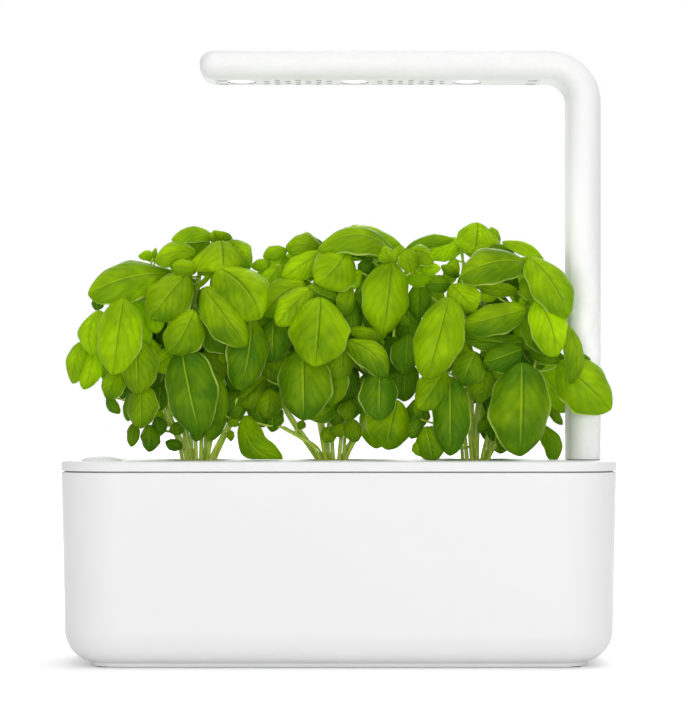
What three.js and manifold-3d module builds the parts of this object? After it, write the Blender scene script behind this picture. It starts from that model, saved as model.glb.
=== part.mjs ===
import * as THREE from "three";
import { mergeVertices } from "three/addons/utils/BufferGeometryUtils.js";
import Module from "manifold-3d";

const wasm = await Module();
wasm.setup();

// Driving dimensions in millimetres: +X right, +Y to the back, +Z up, feet at Z = 0
const lidWidth = 305;
const lidDepth = 121;
const lidTop = 112.5;
const cornerRadius = 32;
const lidPlate = 3;
const lidSkirt = 5.4;
const skirtWall = 1.6;
const topFillet = 1.8;
const seam = 0.8;
const seamInset = 0.15;
const lipClearance = 0.4;
const tubWall = 3;
const tubFillet = 17.5;
const tubTaper = 1.7;
const tubBase = 4.2;
const groundGap = 2;
const seat = 0.3;
const overrun = 1;

// Foot ring and its rubber pads
const ringInset = 16;
const ringWidth = 8;
const ringHeight = 3.3;
const padHeight = 1.6;
const padRadius = 3.4;
const padGrip = 1;

// Growing pods
const podFloatGap = 15.7;
const podMastGap = 28;
const flangeRadius = 22;
const flangeHeight = 1.1;
const flangeDrop = 0.1;
const cupTopRadius = 19;
const cupBottomRadius = 15;
const cupLength = 55.3;
const cupWall = 1.2;
const soilDepth = 49.3;
const soilBelowRim = 3.1;
const crownRadius = 10.8;
const crownDepth = 5.3;
const crownHeight = 2;
const labelHeight = 0.6;
const wickRadius = 3;
const wickLength = 25.7;
const wickGrip = 9.7;

// Water float, its guide and the filling mouth
const floatFromSide = 22.9;
const floatFromFront = 22.5;
const floatHoleRadius = 12;
const floatDomeRadius = 10.8;
const floatDomeHeight = 4.6;
const floatRise = 3;
const floatStemRadius = 2.2;
const floatStemLength = 22;
const puckRadius = 10.9;
const puckHeight = 20;
const puckGrip = 10;
const guideBore = 11.6;
const guideWall = 1.4;
const guideLength = 53.2;
const guideLip = 2.6;
const mouthY = 18;
const mouthWidth = 16;
const mouthLength = 30;

// Lamp arm: a tube of pill section, two round edges joined by flat faces
const mastFromSide = 15.8;
const mastThickness = 18;
const lampThickness = 16.8;
const armFlat = 21.5;
const armWall = 1.8;
const lampTop = 340.9;
const lampReach = 214.3;
const elbowRadius = 20;
const mastSeam = 157;
const mastFloor = 3;
const spigotLength = 24.5;
const spigotWall = 1.8;
const plugShare = 0.461;
const plugRise = 15;
const plugClearance = 0.5;
const armHoleInset = 0.9;
const socketWall = 1.1;
const socketDepth = 36.5;
const socketFlange = 2;
const bossHeight = 6;
const bossRadius = 3.6;
const screwSpread = 25.5;
const contactHeight = 11.5;
const mastContactShare = 0.279;

// Lamp cover, lenses, lights and boards
const coverFromElbow = 4.7;
const coverFromEnd = 9;
const coverMargin = 0.3;
const coverCorner = 2;
const lensFromEnd = 23.2;
const lensPitch = 63.1;
const lensRadius = 7.75;
const lensHeight = 2;
const lensEdgeShare = 0.8;
const lensFlange = 9.4;
const lensFlangeHeight = 0.8;
const ledSize = 5;
const ledHeight = 1.1;
const boardHeight = 1.4;
const boardWidth = 19;
const boardFromEnd = 16;
const ledBoardLength = 143.6;
const boardFromCoverEnd = 8;
const sinkBase = 1.8;
const sinkWidth = 18;
const finCount = 5;
const finThickness = 1.2;
const ventRadius = 1.7;
const ventPitch = 5.8;
const ventRow = 4;
const ventColumns = 7;
const coverScrewFromEnd = 12.6;
const coverScrewFromRight = 4;
const coverScrewY = 7;
const coverScrewHead = 2.4;
const coverScrewHeadHeight = 0.9;
const coverScrewShank = 1.15;
const coverScrewLength = 9.5;
const coverBossRadius = 2.9;

// Power inlet and the leads inside
const jackFromMast = 28.7;
const jackWidth = 14;
const jackHeight = 12.4;
const jackDepth = 12.5;
const jackSet = 2;
const jackBore = 3;
const jackPin = 0.9;
const jackBoreDepth = 9;
const leadRadius = 1.5;
const leadStepShare = 5;
const socketScrewRadius = 1.5;
const socketScrewHead = 3;
const socketScrewHeadHeight = 1.8;
const socketScrewLength = 7.6;

// Plants, as they are seen from in front
const viewDistance = 1460.5;
const viewX = 2.8;
const viewHeight = 136.5;
const stemRadius = 1.5;
const stemTipRadius = 0.8;
const stalkRadius = 0.7;
const leafThickness = 1.2;

// Heights and insets that follow from the sizes above
const skirtBottom = lidTop - lidSkirt;
const plateBottom = lidTop - lidPlate;
const tubTop = skirtBottom - seam;
const lipInset = skirtWall + lipClearance;
const lipTop = plateBottom - seat;
const filletTop = groundGap + tubFillet;
const flangeTopZ = lidTop - flangeDrop;
const cupTop = flangeTopZ - flangeHeight;
const cupBottom = cupTop - cupLength;
const mastBottom = lidTop + seat;
const lampAxisZ = lampTop - lampThickness / 2;
const lampUnder = lampTop - lampThickness;
const coverInside = lampUnder + armWall;
const mastX = lidWidth / 2 - mastFromSide;
const mastRoom = mastSeam - mastBottom - mastFloor;
const elbowX = mastX - elbowRadius;
const elbowZ = lampAxisZ - elbowRadius;
const lampLeft = mastX - lampReach;
const coverLeft = lampLeft + coverFromEnd;
const coverRight = elbowX - coverFromElbow;
const coverHalf = armFlat / 2 - coverMargin;
const boardLeft = lampLeft + boardFromEnd;
const ledBoardRight = boardLeft + ledBoardLength;
const timerBoardRight = coverRight - boardFromCoverEnd;
const jackX = mastX - jackFromMast;
const floatX = floatFromSide - lidWidth / 2;
const floatY = floatFromFront - lidDepth / 2;
const podLeftX = floatX + floatHoleRadius + podFloatGap + flangeRadius + seat;
const podRightX = mastX - mastThickness / 2 - podMastGap - flangeRadius - seat;
const podPitch = (podRightX - podLeftX) / 2;

const steps = {
  corner: 6,
  fillet: 4,
  edge: 2,
  pill: 6,
  elbow: 6,
  round: 20,
  pod: 16,
  small: 8,
  vent: 6,
  lead: 3,
};

const root = new THREE.Group();

// A closed surface through a row of rings that hold equally many points
function loft(rings) {
  const count = rings[0].length;
  const points = rings.flat();
  const last = points.length - count;
  const faces = [];
  for (let start = 0; start < last; start += count) {
    for (let i = 0; i < count; i++) {
      const j = (i + 1) % count;
      faces.push(start + i, start + j, start + count + j);
      faces.push(start + i, start + count + j, start + count + i);
    }
  }
  for (let i = 1; i < count - 1; i++) {
    faces.push(0, i + 1, i);
    faces.push(last, last + i, last + i + 1);
  }
  const geometry = new THREE.BufferGeometry().setFromPoints(points);
  geometry.setIndex(faces);
  return geometry;
}

// Six times the volume that a geometry's triangles enclose, negative where it is inside out
function signedVolume(positions, faces) {
  const corner = (i) => new THREE.Vector3().fromArray(positions, 3 * faces[i]);
  let sum = 0;
  for (let i = 0; i < faces.length; i += 3) {
    sum += corner(i).dot(corner(i + 1).cross(corner(i + 2)));
  }
  return sum;
}

// A geometry as a solid that can be joined and cut
function solid(geometry) {
  geometry.deleteAttribute("normal");
  geometry.deleteAttribute("uv");
  const merged = mergeVertices(geometry);
  const positions = merged.attributes.position.array;
  const faces = [];
  for (let i = 0; i < merged.index.count; i += 3) {
    const [a, b, c] = merged.index.array.slice(i, i + 3);
    if (a !== b && b !== c && c !== a) faces.push(a, b, c);
  }
  if (signedVolume(positions, faces) < 0) faces.reverse();
  const mesh = { numProp: 3, vertProperties: positions, triVerts: new Uint32Array(faces) };
  return new wasm.Manifold(new wasm.Mesh(mesh));
}

function join(solids) {
  return solids.reduce((whole, piece) => whole.add(piece));
}

// A named mesh made from a solid, added to a group
function addPart(name, shape, material, group = root) {
  const { vertProperties, triVerts } = shape.getMesh();
  const geometry = new THREE.BufferGeometry();
  geometry.setAttribute("position", new THREE.BufferAttribute(vertProperties, 3));
  geometry.setIndex(new THREE.BufferAttribute(triVerts, 1));
  geometry.computeVertexNormals();
  const mesh = new THREE.Mesh(geometry, material);
  mesh.name = name;
  group.add(mesh);
  return mesh;
}

function plastic(color, roughness) {
  return new THREE.MeshStandardMaterial({ color, roughness, metalness: 0 });
}

function metal(color, roughness) {
  return new THREE.MeshStandardMaterial({ color, roughness, metalness: 1 });
}

// An upright cylinder between two heights
function cylinder(radius, bottom, top, x = 0, y = 0, sides = steps.round) {
  const geometry = new THREE.CylinderGeometry(radius, radius, top - bottom, sides);
  geometry.rotateX(Math.PI / 2);
  geometry.translate(x, y, (top + bottom) / 2);
  return solid(geometry);
}

// A box between two corners
function box(low, high) {
  const size = high.map((value, i) => value - low[i]);
  const middle = high.map((value, i) => (value + low[i]) / 2);
  return solid(new THREE.BoxGeometry(...size).translate(...middle));
}

// A turned solid: its profile is a list of [radius, height] pairs
function turned(profile, sides = steps.round, x = 0, y = 0) {
  const points = profile.map(([radius, height]) => new THREE.Vector2(radius, height));
  const geometry = new THREE.LatheGeometry(points, sides);
  geometry.rotateX(Math.PI / 2);
  geometry.translate(x, y, 0);
  return solid(geometry);
}

// A lead along a smooth curve through points, with steps spaced by a share of its radius
function lead(points) {
  const circle = new THREE.Shape().absarc(0, 0, leadRadius, 0, 2 * Math.PI);
  const extrudePath = new THREE.CatmullRomCurve3(points);
  const count = Math.ceil(extrudePath.getLength() / (leadStepShare * leadRadius));
  const options = { steps: count, curveSegments: steps.lead, extrudePath };
  return solid(new THREE.ExtrudeGeometry(circle, options));
}

// A flat plate with rounded corners between two heights
function plate(left, right, half, corner, bottom, top) {
  const shape = new THREE.Shape();
  const turn = Math.PI / 2;
  shape.absarc(right - corner, half - corner, corner, 0, turn);
  shape.absarc(left + corner, half - corner, corner, turn, 2 * turn);
  shape.absarc(left + corner, corner - half, corner, 2 * turn, 3 * turn);
  shape.absarc(right - corner, corner - half, corner, 3 * turn, 4 * turn);
  const options = { depth: top - bottom, bevelEnabled: false, curveSegments: steps.edge };
  return solid(new THREE.ExtrudeGeometry(shape, options).translate(0, 0, bottom));
}

// A ring of points: the outline of the lid, moved in and set at a height
function outline(inset, height) {
  const radius = cornerRadius - inset;
  const x = lidWidth / 2 - cornerRadius;
  const y = lidDepth / 2 - cornerRadius;
  const centres = [[x, y], [-x, y], [-x, -y], [x, -y]];
  const ring = [];
  centres.forEach(([centreX, centreY], quarter) => {
    for (let i = 0; i <= steps.corner; i++) {
      const angle = ((quarter + i / steps.corner) * Math.PI) / 2;
      const pointX = centreX + radius * Math.cos(angle);
      const pointY = centreY + radius * Math.sin(angle);
      ring.push(new THREE.Vector3(pointX, pointY, height));
    }
  });
  return ring;
}

// An upright prism on the lid's outline
function slab(inset, bottom, top) {
  return solid(loft([outline(inset, bottom), outline(inset, top)]));
}

// A ring of pill section round a point of the arm, square to the direction of the arm
function pillRing(x, z, radius, angle, flat = armFlat) {
  const ring = [];
  for (const side of [1, -1]) {
    for (let i = 0; i <= steps.pill; i++) {
      const turn = (i / steps.pill - 1 / 2) * Math.PI;
      const out = side * radius * Math.sin(turn);
      const y = side * (flat / 2 + radius * Math.cos(turn));
      ring.push(new THREE.Vector3(x + out * Math.sin(angle), y, z + out * Math.cos(angle)));
    }
  }
  return ring;
}

// An upright prism of the mast's section, moved in by an inset
function pillar(inset, bottom, top) {
  const radius = mastThickness / 2 - inset;
  const rings = [bottom, top].map((height) => pillRing(mastX, height, radius, Math.PI / 2));
  return solid(loft(rings));
}

// Tub

function tubBody(wall, floor, top) {
  const side = seamInset + tubTaper + wall;
  const rings = [];
  for (let i = 0; i <= steps.fillet; i++) {
    const angle = ((i / steps.fillet) * Math.PI) / 2;
    const inset = side + (tubFillet - wall) * (1 - Math.sin(angle));
    rings.push(outline(inset, filletTop - (filletTop - floor) * Math.cos(angle)));
  }
  rings.push(outline(seamInset + wall, top));
  return solid(loft(rings));
}

const white = { color: 0xf4f4f2, roughness: 0.28 };
const jackBack = lidDepth / 2 - jackSet;
const jackTop = plateBottom - seat;
const jackBottom = jackTop - jackHeight;
const jackLeft = jackX - jackWidth / 2;

function makeTub() {
  const grooveTop = padHeight - padGrip + ringHeight + seat;
  const outside = tubBody(0, groundGap, tubTop);
  const lip = slab(lipInset, tubTop - overrun, lipTop);
  const inside = tubBody(tubWall, groundGap + tubBase, lipTop + overrun);
  const groove = slab(ringInset - seat, groundGap - overrun, grooveTop).subtract(
    slab(ringInset + ringWidth + seat, 0, grooveTop + overrun),
  );
  const notch = box(
    [jackLeft - seat, jackBack - jackDepth / 2, jackBottom - seat],
    [jackLeft + jackWidth + seat, lidDepth, lidTop],
  );
  const shape = outside.add(lip).subtract(inside).subtract(groove).subtract(notch);
  addPart("tub", shape, plastic(white.color, white.roughness));
}

function makeFoot() {
  const bottom = padHeight - padGrip;
  const top = bottom + ringHeight;
  const inset = ringInset + ringWidth / 2;
  const reach = (cornerRadius - inset) * Math.SQRT1_2;
  const padX = lidWidth / 2 - cornerRadius + reach;
  const padY = lidDepth / 2 - cornerRadius + reach;
  const places = [[-padX, -padY], [padX, -padY], [padX, padY], [-padX, padY]];
  let ring = slab(ringInset, bottom, top).subtract(
    slab(ringInset + ringWidth, bottom - overrun, top + overrun),
  );
  places.forEach(([x, y], i) => {
    const pocket = cylinder(padRadius + seat, bottom - overrun, padHeight + seat, x, y, steps.pod);
    ring = ring.subtract(pocket);
    const pad = turned(
      [
        [0, 0],
        [padRadius - padGrip / 2, 0],
        [padRadius, padGrip / 2],
        [padRadius, padHeight],
        [0, padHeight],
      ],
      steps.pod,
      x,
      y,
    );
    addPart(`foot_pad_${i + 1}`, pad, plastic(0x55585a, 0.8));
  });
  addPart("foot_ring", ring, plastic(0xefefed, 0.4));
}

// Lid

const podPlaces = { left: podLeftX, middle: podLeftX + podPitch, right: podRightX };
const podHoleRadius = cupTopRadius + 2 * seat;

// The pouring mouth: a slot with round ends
function mouthCut() {
  const radius = mouthWidth / 2;
  const straight = mouthLength - mouthWidth;
  const ring = pillRing(floatX, plateBottom - overrun, radius, Math.PI / 2, straight);
  const rings = [ring, ring.map((point) => point.clone().setZ(lidTop + overrun))];
  return solid(loft(rings)).translate([0, mouthY, 0]);
}

function makeLid() {
  const rings = [outline(0, skirtBottom)];
  for (let i = 0; i <= steps.edge; i++) {
    const angle = ((i / steps.edge) * Math.PI) / 2;
    rings.push(outline(topFillet * (1 - Math.cos(angle)), lidTop - topFillet * (1 - Math.sin(angle))));
  }
  let lid = solid(loft(rings)).subtract(slab(skirtWall, skirtBottom - overrun, plateBottom));
  for (const y of [-screwSpread, screwSpread]) {
    lid = lid.add(cylinder(bossRadius, plateBottom - bossHeight, lidTop - overrun, mastX, y));
  }
  for (const y of [-screwSpread, screwSpread]) {
    const bore = cylinder(
      socketScrewRadius + seat,
      plateBottom - bossHeight - overrun,
      plateBottom,
      mastX,
      y,
      steps.small,
    );
    lid = lid.subtract(bore);
  }
  for (const x of Object.values(podPlaces)) {
    lid = lid.subtract(cylinder(podHoleRadius, plateBottom - overrun, lidTop + overrun, x));
    lid = lid.subtract(cylinder(flangeRadius + seat, cupTop - seat, lidTop + overrun, x));
  }
  const floatHole = cylinder(
    floatHoleRadius, plateBottom - overrun, lidTop + overrun, floatX, floatY,
  );
  const armHole = pillar(armHoleInset, plateBottom - overrun, lidTop + overrun);
  lid = lid.subtract(floatHole).subtract(mouthCut()).subtract(armHole);
  addPart("lid", lid, plastic(white.color, white.roughness));
}

// Float and guide

function makeFloat() {
  const guideTop = plateBottom - seat;
  const guideBottom = guideTop - guideLength;
  const guideOuter = guideBore + guideWall;
  let guide = turned(
    [
      [guideOuter, guideBottom],
      [guideOuter, guideTop],
      [guideBore, guideTop],
      [guideBore, guideBottom + guideWall],
      [guideBore - guideLip, guideBottom + guideWall],
      [guideBore - guideLip, guideBottom],
      [guideOuter, guideBottom],
    ],
    steps.round,
    floatX,
    floatY,
  );
  const windowHalf = guideBore / 3;
  const windowLow = guideBottom + 4 * guideWall;
  const windowHigh = guideTop - 4 * guideWall;
  const reach = 2 * guideOuter;
  for (const [halfX, halfY] of [[windowHalf, reach], [reach, windowHalf]]) {
    const cut = box(
      [floatX - halfX, floatY - halfY, windowLow],
      [floatX + halfX, floatY + halfY, windowHigh],
    );
    guide = guide.subtract(cut);
  }
  addPart("float_guide", guide, plastic(0xe4e6e6, 0.5));

  const domeTop = lidTop + floatRise;
  const domeBottom = domeTop - floatDomeHeight;
  const profile = [[0, domeBottom - floatStemLength], [floatStemRadius, domeBottom - floatStemLength]];
  profile.push([floatStemRadius, domeBottom]);
  const domeRim = floatDomeHeight / 3;
  for (let i = 0; i <= steps.fillet; i++) {
    const angle = ((i / steps.fillet) * Math.PI) / 2;
    const radius = floatDomeRadius * Math.cos(angle);
    profile.push([radius, domeBottom + domeRim + (floatDomeHeight - domeRim) * Math.sin(angle)]);
    if (i === 0) profile.splice(3, 0, [floatDomeRadius, domeBottom]);
  }
  addPart("float_cap", turned(profile, steps.round, floatX, floatY), plastic(white.color, 0.3));

  const puckTop = domeBottom - floatStemLength + puckGrip;
  const puck = turned(
    [
      [0, puckTop - puckHeight],
      [puckRadius, puckTop - puckHeight],
      [puckRadius, puckTop],
      [floatStemRadius + seat, puckTop],
      [floatStemRadius + seat, puckTop - puckGrip - seat],
      [0, puckTop - puckGrip - seat],
    ],
    steps.round,
    floatX,
    floatY,
  );
  addPart("float_puck", puck, plastic(0xd8d3c4, 0.9));
}

// Arm socket and power inlet

const socketTop = lidTop - 2 * seat;
const socketBottom = lidTop - socketDepth;
const flangeTop = plateBottom - bossHeight - seat;
const sleeveInset = armHoleInset + seat;
const spigotInset = sleeveInset + socketWall + seat;
const contactBottom = socketBottom + seat;

function makeSocket() {
  const flangeHalf = mastThickness / 2 + socketWall + seat;
  const flangeLow = flangeTop - socketFlange;
  const flangeFlat = 2 * screwSpread - flangeHalf;
  const flangeRing = pillRing(mastX, flangeLow, flangeHalf, Math.PI / 2, flangeFlat);
  const flange = solid(loft([flangeRing, flangeRing.map((point) => point.clone().setZ(flangeTop))]));
  let socket = pillar(sleeveInset, socketBottom, socketTop).add(flange);
  socket = socket.subtract(pillar(sleeveInset + socketWall, socketBottom - overrun, socketTop + overrun));
  const headTop = flangeTop - socketFlange - seat;
  const screwTop = headTop + socketScrewLength;
  [-screwSpread, screwSpread].forEach((y, i) => {
    const hole = cylinder(
      socketScrewRadius + seat, flangeTop - 2 * socketFlange, flangeTop + overrun, mastX, y, steps.small,
    );
    socket = socket.subtract(hole);
    const screw = turned(
      [
        [0, headTop - socketScrewHeadHeight],
        [socketScrewHead, headTop - socketScrewHeadHeight],
        [socketScrewHead, headTop],
        [socketScrewRadius, headTop],
        [socketScrewRadius, screwTop],
        [0, screwTop],
      ],
      steps.small,
      mastX,
      y,
    );
    addPart(`socket_screw_${i + 1}`, screw, metal(0xb8babb, 0.35));
  });
  addPart("arm_socket", socket, plastic(0xdedfdf, 0.45));
  const contacts = pillar(spigotInset, contactBottom, contactBottom + contactHeight - seat);
  addPart("base_contacts", contacts, plastic(0x26282a, 0.5));
}

function makeInlet() {
  const jackFront = jackBack - jackDepth;
  const middle = (jackTop + jackBottom) / 2;
  const along = (radius, from, to, sides) => {
    const geometry = new THREE.CylinderGeometry(radius, radius, to - from, sides);
    return solid(geometry.translate(jackX, (from + to) / 2, middle));
  };
  const body = box([jackLeft, jackFront, jackBottom], [jackLeft + jackWidth, jackBack, jackTop]);
  const bore = along(jackBore, jackBack - jackBoreDepth, jackBack + overrun, steps.round);
  const pin = along(jackPin, jackBack - jackBoreDepth - overrun, jackBack - overrun, steps.small);
  addPart("power_inlet", body.subtract(bore).add(pin), plastic(0x2b2d2f, 0.45));

  const deep = socketBottom - 3 * leadRadius;
  const points = [
    [jackX, jackFront - seat, middle],
    [jackX, jackFront - jackDepth, middle - leadRadius],
    [jackX + jackWidth / 4, jackFront / 2, (middle + deep) / 2],
    [jackX + jackWidth, jackFront / 4, deep + leadRadius],
    [mastX - leadRadius, jackFront / 20, deep - 2 * leadRadius],
    [mastX, 0, deep],
    [mastX, 0, contactBottom - seat],
  ];
  const route = points.map((point) => new THREE.Vector3(...point));
  addPart("power_lead", lead(route), plastic(0x1d1f21, 0.6));
}

// Lamp arm

// The arm from the lamp's free end, round the elbow and down the mast, moved in by an inset
function armBody(inset, bottom) {
  const rings = [];
  const radius = lampThickness / 2 - inset;
  const start = lampLeft + inset;
  for (let i = 0; i <= steps.fillet; i++) {
    const angle = ((i + 1 / 8) / (steps.fillet + 1 / 8)) * (Math.PI / 2);
    rings.push(pillRing(start + radius * (1 - Math.cos(angle)), lampAxisZ, radius * Math.sin(angle), 0));
  }
  for (let i = 0; i <= steps.elbow; i++) {
    const share = i / steps.elbow;
    const angle = (share * Math.PI) / 2;
    const half = THREE.MathUtils.lerp(lampThickness, mastThickness, share) / 2 - inset;
    const x = elbowX + elbowRadius * Math.sin(angle);
    rings.push(pillRing(x, elbowZ + elbowRadius * Math.cos(angle), half, angle));
  }
  rings.push(pillRing(mastX, bottom, mastThickness / 2 - inset, Math.PI / 2));
  return solid(loft(rings));
}

const screwPlaces = [
  [lampLeft + coverScrewFromEnd, -coverScrewY],
  [coverRight - coverScrewFromRight, -coverScrewY],
  [coverRight - coverScrewFromRight, coverScrewY],
  [lampLeft + coverScrewFromEnd, coverScrewY],
];
const lensPlaces = [0, 1, 2].map((i) => lampLeft + lensFromEnd + i * lensPitch);
const headDepth = coverScrewHeadHeight + seat / 2;

function makeLampShell() {
  const cut = plate(
    coverLeft - seat,
    coverRight + seat,
    coverHalf + seat,
    coverCorner + seat,
    lampUnder - overrun,
    coverInside + overrun,
  );
  let shell = armBody(0, mastSeam).subtract(armBody(armWall, mastSeam - overrun)).subtract(cut);
  for (const [x, y] of screwPlaces) {
    const boss = cylinder(coverBossRadius, coverInside + seat, lampTop - overrun, x, y, steps.small);
    const boreTop = coverInside + coverScrewLength;
    const bore = cylinder(coverScrewShank + seat, coverInside, boreTop, x, y, steps.small);
    shell = shell.add(boss).subtract(bore);
  }
  addPart("lamp_shell", shell, plastic(white.color, white.roughness));
}

function makeLampCover() {
  let cover = plate(coverLeft, coverRight, coverHalf, coverCorner, lampUnder, coverInside);
  const under = lampUnder - overrun;
  const over = coverInside + overrun;
  for (const x of lensPlaces) {
    cover = cover.subtract(cylinder(lensRadius + seat, under, over, x));
  }
  const middle = (ventColumns - 1) / 2;
  for (const lensX of lensPlaces.slice(0, -1)) {
    for (let column = 0; column < ventColumns; column++) {
      const x = lensX + lensPitch / 2 + (column - middle) * ventPitch;
      const rows = column % 2 ? [-2, 0, 2] : [-1, 1];
      for (const row of rows) {
        cover = cover.subtract(cylinder(ventRadius, under, over, x, row * ventRow, steps.vent));
      }
    }
  }
  for (const [x, y] of screwPlaces) {
    const headTop = lampUnder + headDepth;
    cover = cover.subtract(cylinder(coverScrewHead + seat, under, headTop, x, y, steps.small));
    cover = cover.subtract(cylinder(coverScrewShank + seat, under, over, x, y, steps.small));
  }
  addPart("lamp_cover", cover, plastic(0xe6e7e7, 0.35));
}

function makeCoverScrews() {
  const bottom = lampUnder + seat / 2;
  const under = bottom + coverScrewHeadHeight - seat / 2;
  screwPlaces.forEach(([x, y], i) => {
    const screw = turned(
      [
        [0, bottom],
        [coverScrewHead, bottom],
        [coverScrewHead, under],
        [coverScrewShank, under],
        [coverScrewShank, under + coverScrewLength],
        [0, under + coverScrewLength],
      ],
      steps.small,
      x,
      y,
    );
    addPart(`cover_screw_${i + 1}`, screw, metal(0xc3c5c6, 0.3));
  });
}

const lensTop = coverInside + seat + lensFlangeHeight;
const ledTop = lensTop + seat + ledHeight;
const boardBottom = ledTop + seat;
const sinkBottom = boardBottom + boardHeight + seat;

function makeLights() {
  lensPlaces.forEach((x, i) => {
    const flangeBottom = coverInside + seat;
    const lens = turned(
      [
        [0, flangeBottom - lensHeight],
        [lensRadius * lensEdgeShare, flangeBottom - lensHeight],
        [lensRadius, flangeBottom - lensHeight / 2],
        [lensRadius, flangeBottom],
        [lensFlange, flangeBottom],
        [lensFlange, lensTop],
        [0, lensTop],
      ],
      steps.pod,
      x,
    );
    const glass = new THREE.MeshStandardMaterial({
      color: 0xf6f7f5, roughness: 0.12, metalness: 0, transparent: true, opacity: 0.6,
    });
    addPart(`lens_${i + 1}`, lens, glass);
    const half = ledSize / 2;
    const led = box([x - half, -half, lensTop + seat], [x + half, half, ledTop]);
    addPart(`led_${i + 1}`, led, plastic(0xf2d45c, 0.5));
  });
  const boardTop = boardBottom + boardHeight;
  const half = boardWidth / 2;
  const ledBoard = box([boardLeft, -half, boardBottom], [ledBoardRight, half, boardTop]);
  addPart("led_board", ledBoard, plastic(0xf0f0ea, 0.5));
  const timerBoard = box([ledBoardRight + seat, -half, boardBottom], [timerBoardRight, half, boardTop]);
  addPart("timer_board", timerBoard, plastic(0x2f6b43, 0.5));
}

function makeHeatSink() {
  const baseTop = sinkBottom + sinkBase;
  const finTop = lampTop - armWall - seat;
  const half = sinkWidth / 2;
  let sink = box([boardLeft, -half, sinkBottom], [timerBoardRight, half, baseTop]);
  for (let i = 0; i < finCount; i++) {
    const y = -half + (i * (sinkWidth - finThickness)) / (finCount - 1);
    const fin = box([boardLeft, y, sinkBottom], [timerBoardRight, y + finThickness, finTop]);
    sink = sink.add(fin);
  }
  addPart("heat_sink", sink, metal(0xb9bcbe, 0.4));
}

const plugInset = armWall + plugClearance;
const plugTop = mastSeam + plugRise;
const plugBottom = mastSeam - plugShare * mastRoom;
const spigotBottom = mastBottom - spigotLength;

function makeArm() {
  const body = pillar(0, mastBottom, mastSeam - seat)
    .add(pillar(spigotInset, spigotBottom, mastBottom + overrun))
    .subtract(pillar(armWall, mastBottom + mastFloor, mastSeam + overrun))
    .subtract(pillar(spigotInset + spigotWall, spigotBottom - overrun, mastSeam));
  addPart("arm_tube", body, plastic(white.color, white.roughness));

  const endInset = spigotInset + spigotWall + seat;
  const plug = pillar(endInset, spigotBottom + seat, spigotBottom + contactHeight);
  addPart("arm_plug", plug, plastic(0x26282a, 0.5));
  const contactsTop = plugBottom - seat;
  const contactsBottom = contactsTop - mastContactShare * mastRoom;
  addPart("arm_contacts", pillar(plugInset, contactsBottom, contactsTop), plastic(0x26282a, 0.5));

  const low = spigotBottom + contactHeight + seat;
  const high = contactsBottom - seat;
  const span = high - low;
  const points = [
    new THREE.Vector3(mastX, 0, high),
    new THREE.Vector3(mastX + leadRadius / 2, 0, high - span / 4),
    new THREE.Vector3(mastX - leadRadius / 2, 0, low + span / 4),
    new THREE.Vector3(mastX, 0, low),
  ];
  addPart("arm_lead", lead(points), plastic(0x1d1f21, 0.6));
}

function makeLampPlug() {
  const plug = pillar(plugInset, plugBottom, plugTop);
  addPart("lamp_plug", plug, plastic(0x26282a, 0.5));
  const height = boardBottom + boardHeight / 2;
  const points = [
    [timerBoardRight + seat, height],
    [elbowX, height],
    [elbowX + elbowRadius * Math.SQRT1_2, elbowZ + elbowRadius * Math.SQRT1_2 - leadRadius],
    [mastX - leadRadius / 2, elbowZ],
    [mastX, elbowZ - elbowRadius],
    [mastX, (elbowZ + plugTop) / 2],
    [mastX, plugTop + elbowRadius],
    [mastX, plugTop + seat],
  ];
  const route = points.map(([x, z]) => new THREE.Vector3(x, 0, z));
  addPart("lamp_lead", lead(route), plastic(0x1d1f21, 0.6));
}

// Pods

// The radius of a pod cup's inner wall at a height
function cupBore(height) {
  const share = (height - cupBottom) / (cupTop - cupBottom);
  return THREE.MathUtils.lerp(cupBottomRadius, cupTopRadius, share) - cupWall;
}

function makePod(side, x) {
  const bore = wickRadius + 2 * seat;
  let cup = turned(
    [
      [bore, cupBottom],
      [cupBottomRadius, cupBottom],
      [cupTopRadius, cupTop],
      [flangeRadius, cupTop],
      [flangeRadius, flangeTopZ],
      [cupBore(flangeTopZ), flangeTopZ],
      [cupBore(cupBottom + cupWall), cupBottom + cupWall],
      [bore, cupBottom + cupWall],
      [bore, cupBottom],
    ],
    steps.pod,
    x,
  );
  const windowHalf = cupBottomRadius / 6;
  for (let i = 0; i < 3; i++) {
    const bar = box(
      [-flangeRadius, -windowHalf, cupBottom + cupLength / 8],
      [flangeRadius, windowHalf, cupBottom + cupLength / 2],
    );
    cup = cup.subtract(bar.rotate([0, 0, (i * 180) / 3]).translate([x, 0, 0]));
  }
  addPart(`pod_cup_${side}`, cup, plastic(0x3a3c3d, 0.6));

  const soilTop = flangeTopZ - soilBelowRim;
  const soilBottom = soilTop - soilDepth;
  const pit = crownRadius + seat;
  const soil = turned(
    [
      [0, soilBottom + wickGrip],
      [wickRadius + seat, soilBottom + wickGrip],
      [wickRadius + seat, soilBottom],
      [cupBore(soilBottom) - seat, soilBottom],
      [cupBore(soilTop) - seat, soilTop],
      [pit, soilTop],
      [pit, soilTop - crownDepth],
      [0, soilTop - crownDepth],
    ],
    steps.pod,
    x,
  );
  addPart(`soil_plug_${side}`, soil, plastic(0x3b2a1e, 0.95));

  const labelBottom = soilTop + seat;
  const label = turned(
    [
      [pit + seat, labelBottom],
      [cupBore(labelBottom) - seat, labelBottom],
      [cupBore(labelBottom) - seat, labelBottom + labelHeight],
      [pit + seat, labelBottom + labelHeight],
      [pit + seat, labelBottom],
    ],
    steps.pod,
    x,
  );
  addPart(`pod_label_${side}`, label, plastic(0xf1efe8, 0.8));

  const wickTop = soilBottom + wickGrip - seat;
  const wick = cylinder(wickRadius, wickTop - wickLength, wickTop, x, 0, steps.small);
  addPart(`wick_${side}`, wick, plastic(0xe9e4d6, 0.95));
  return soilTop - crownDepth + seat;
}

// Plants

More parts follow.
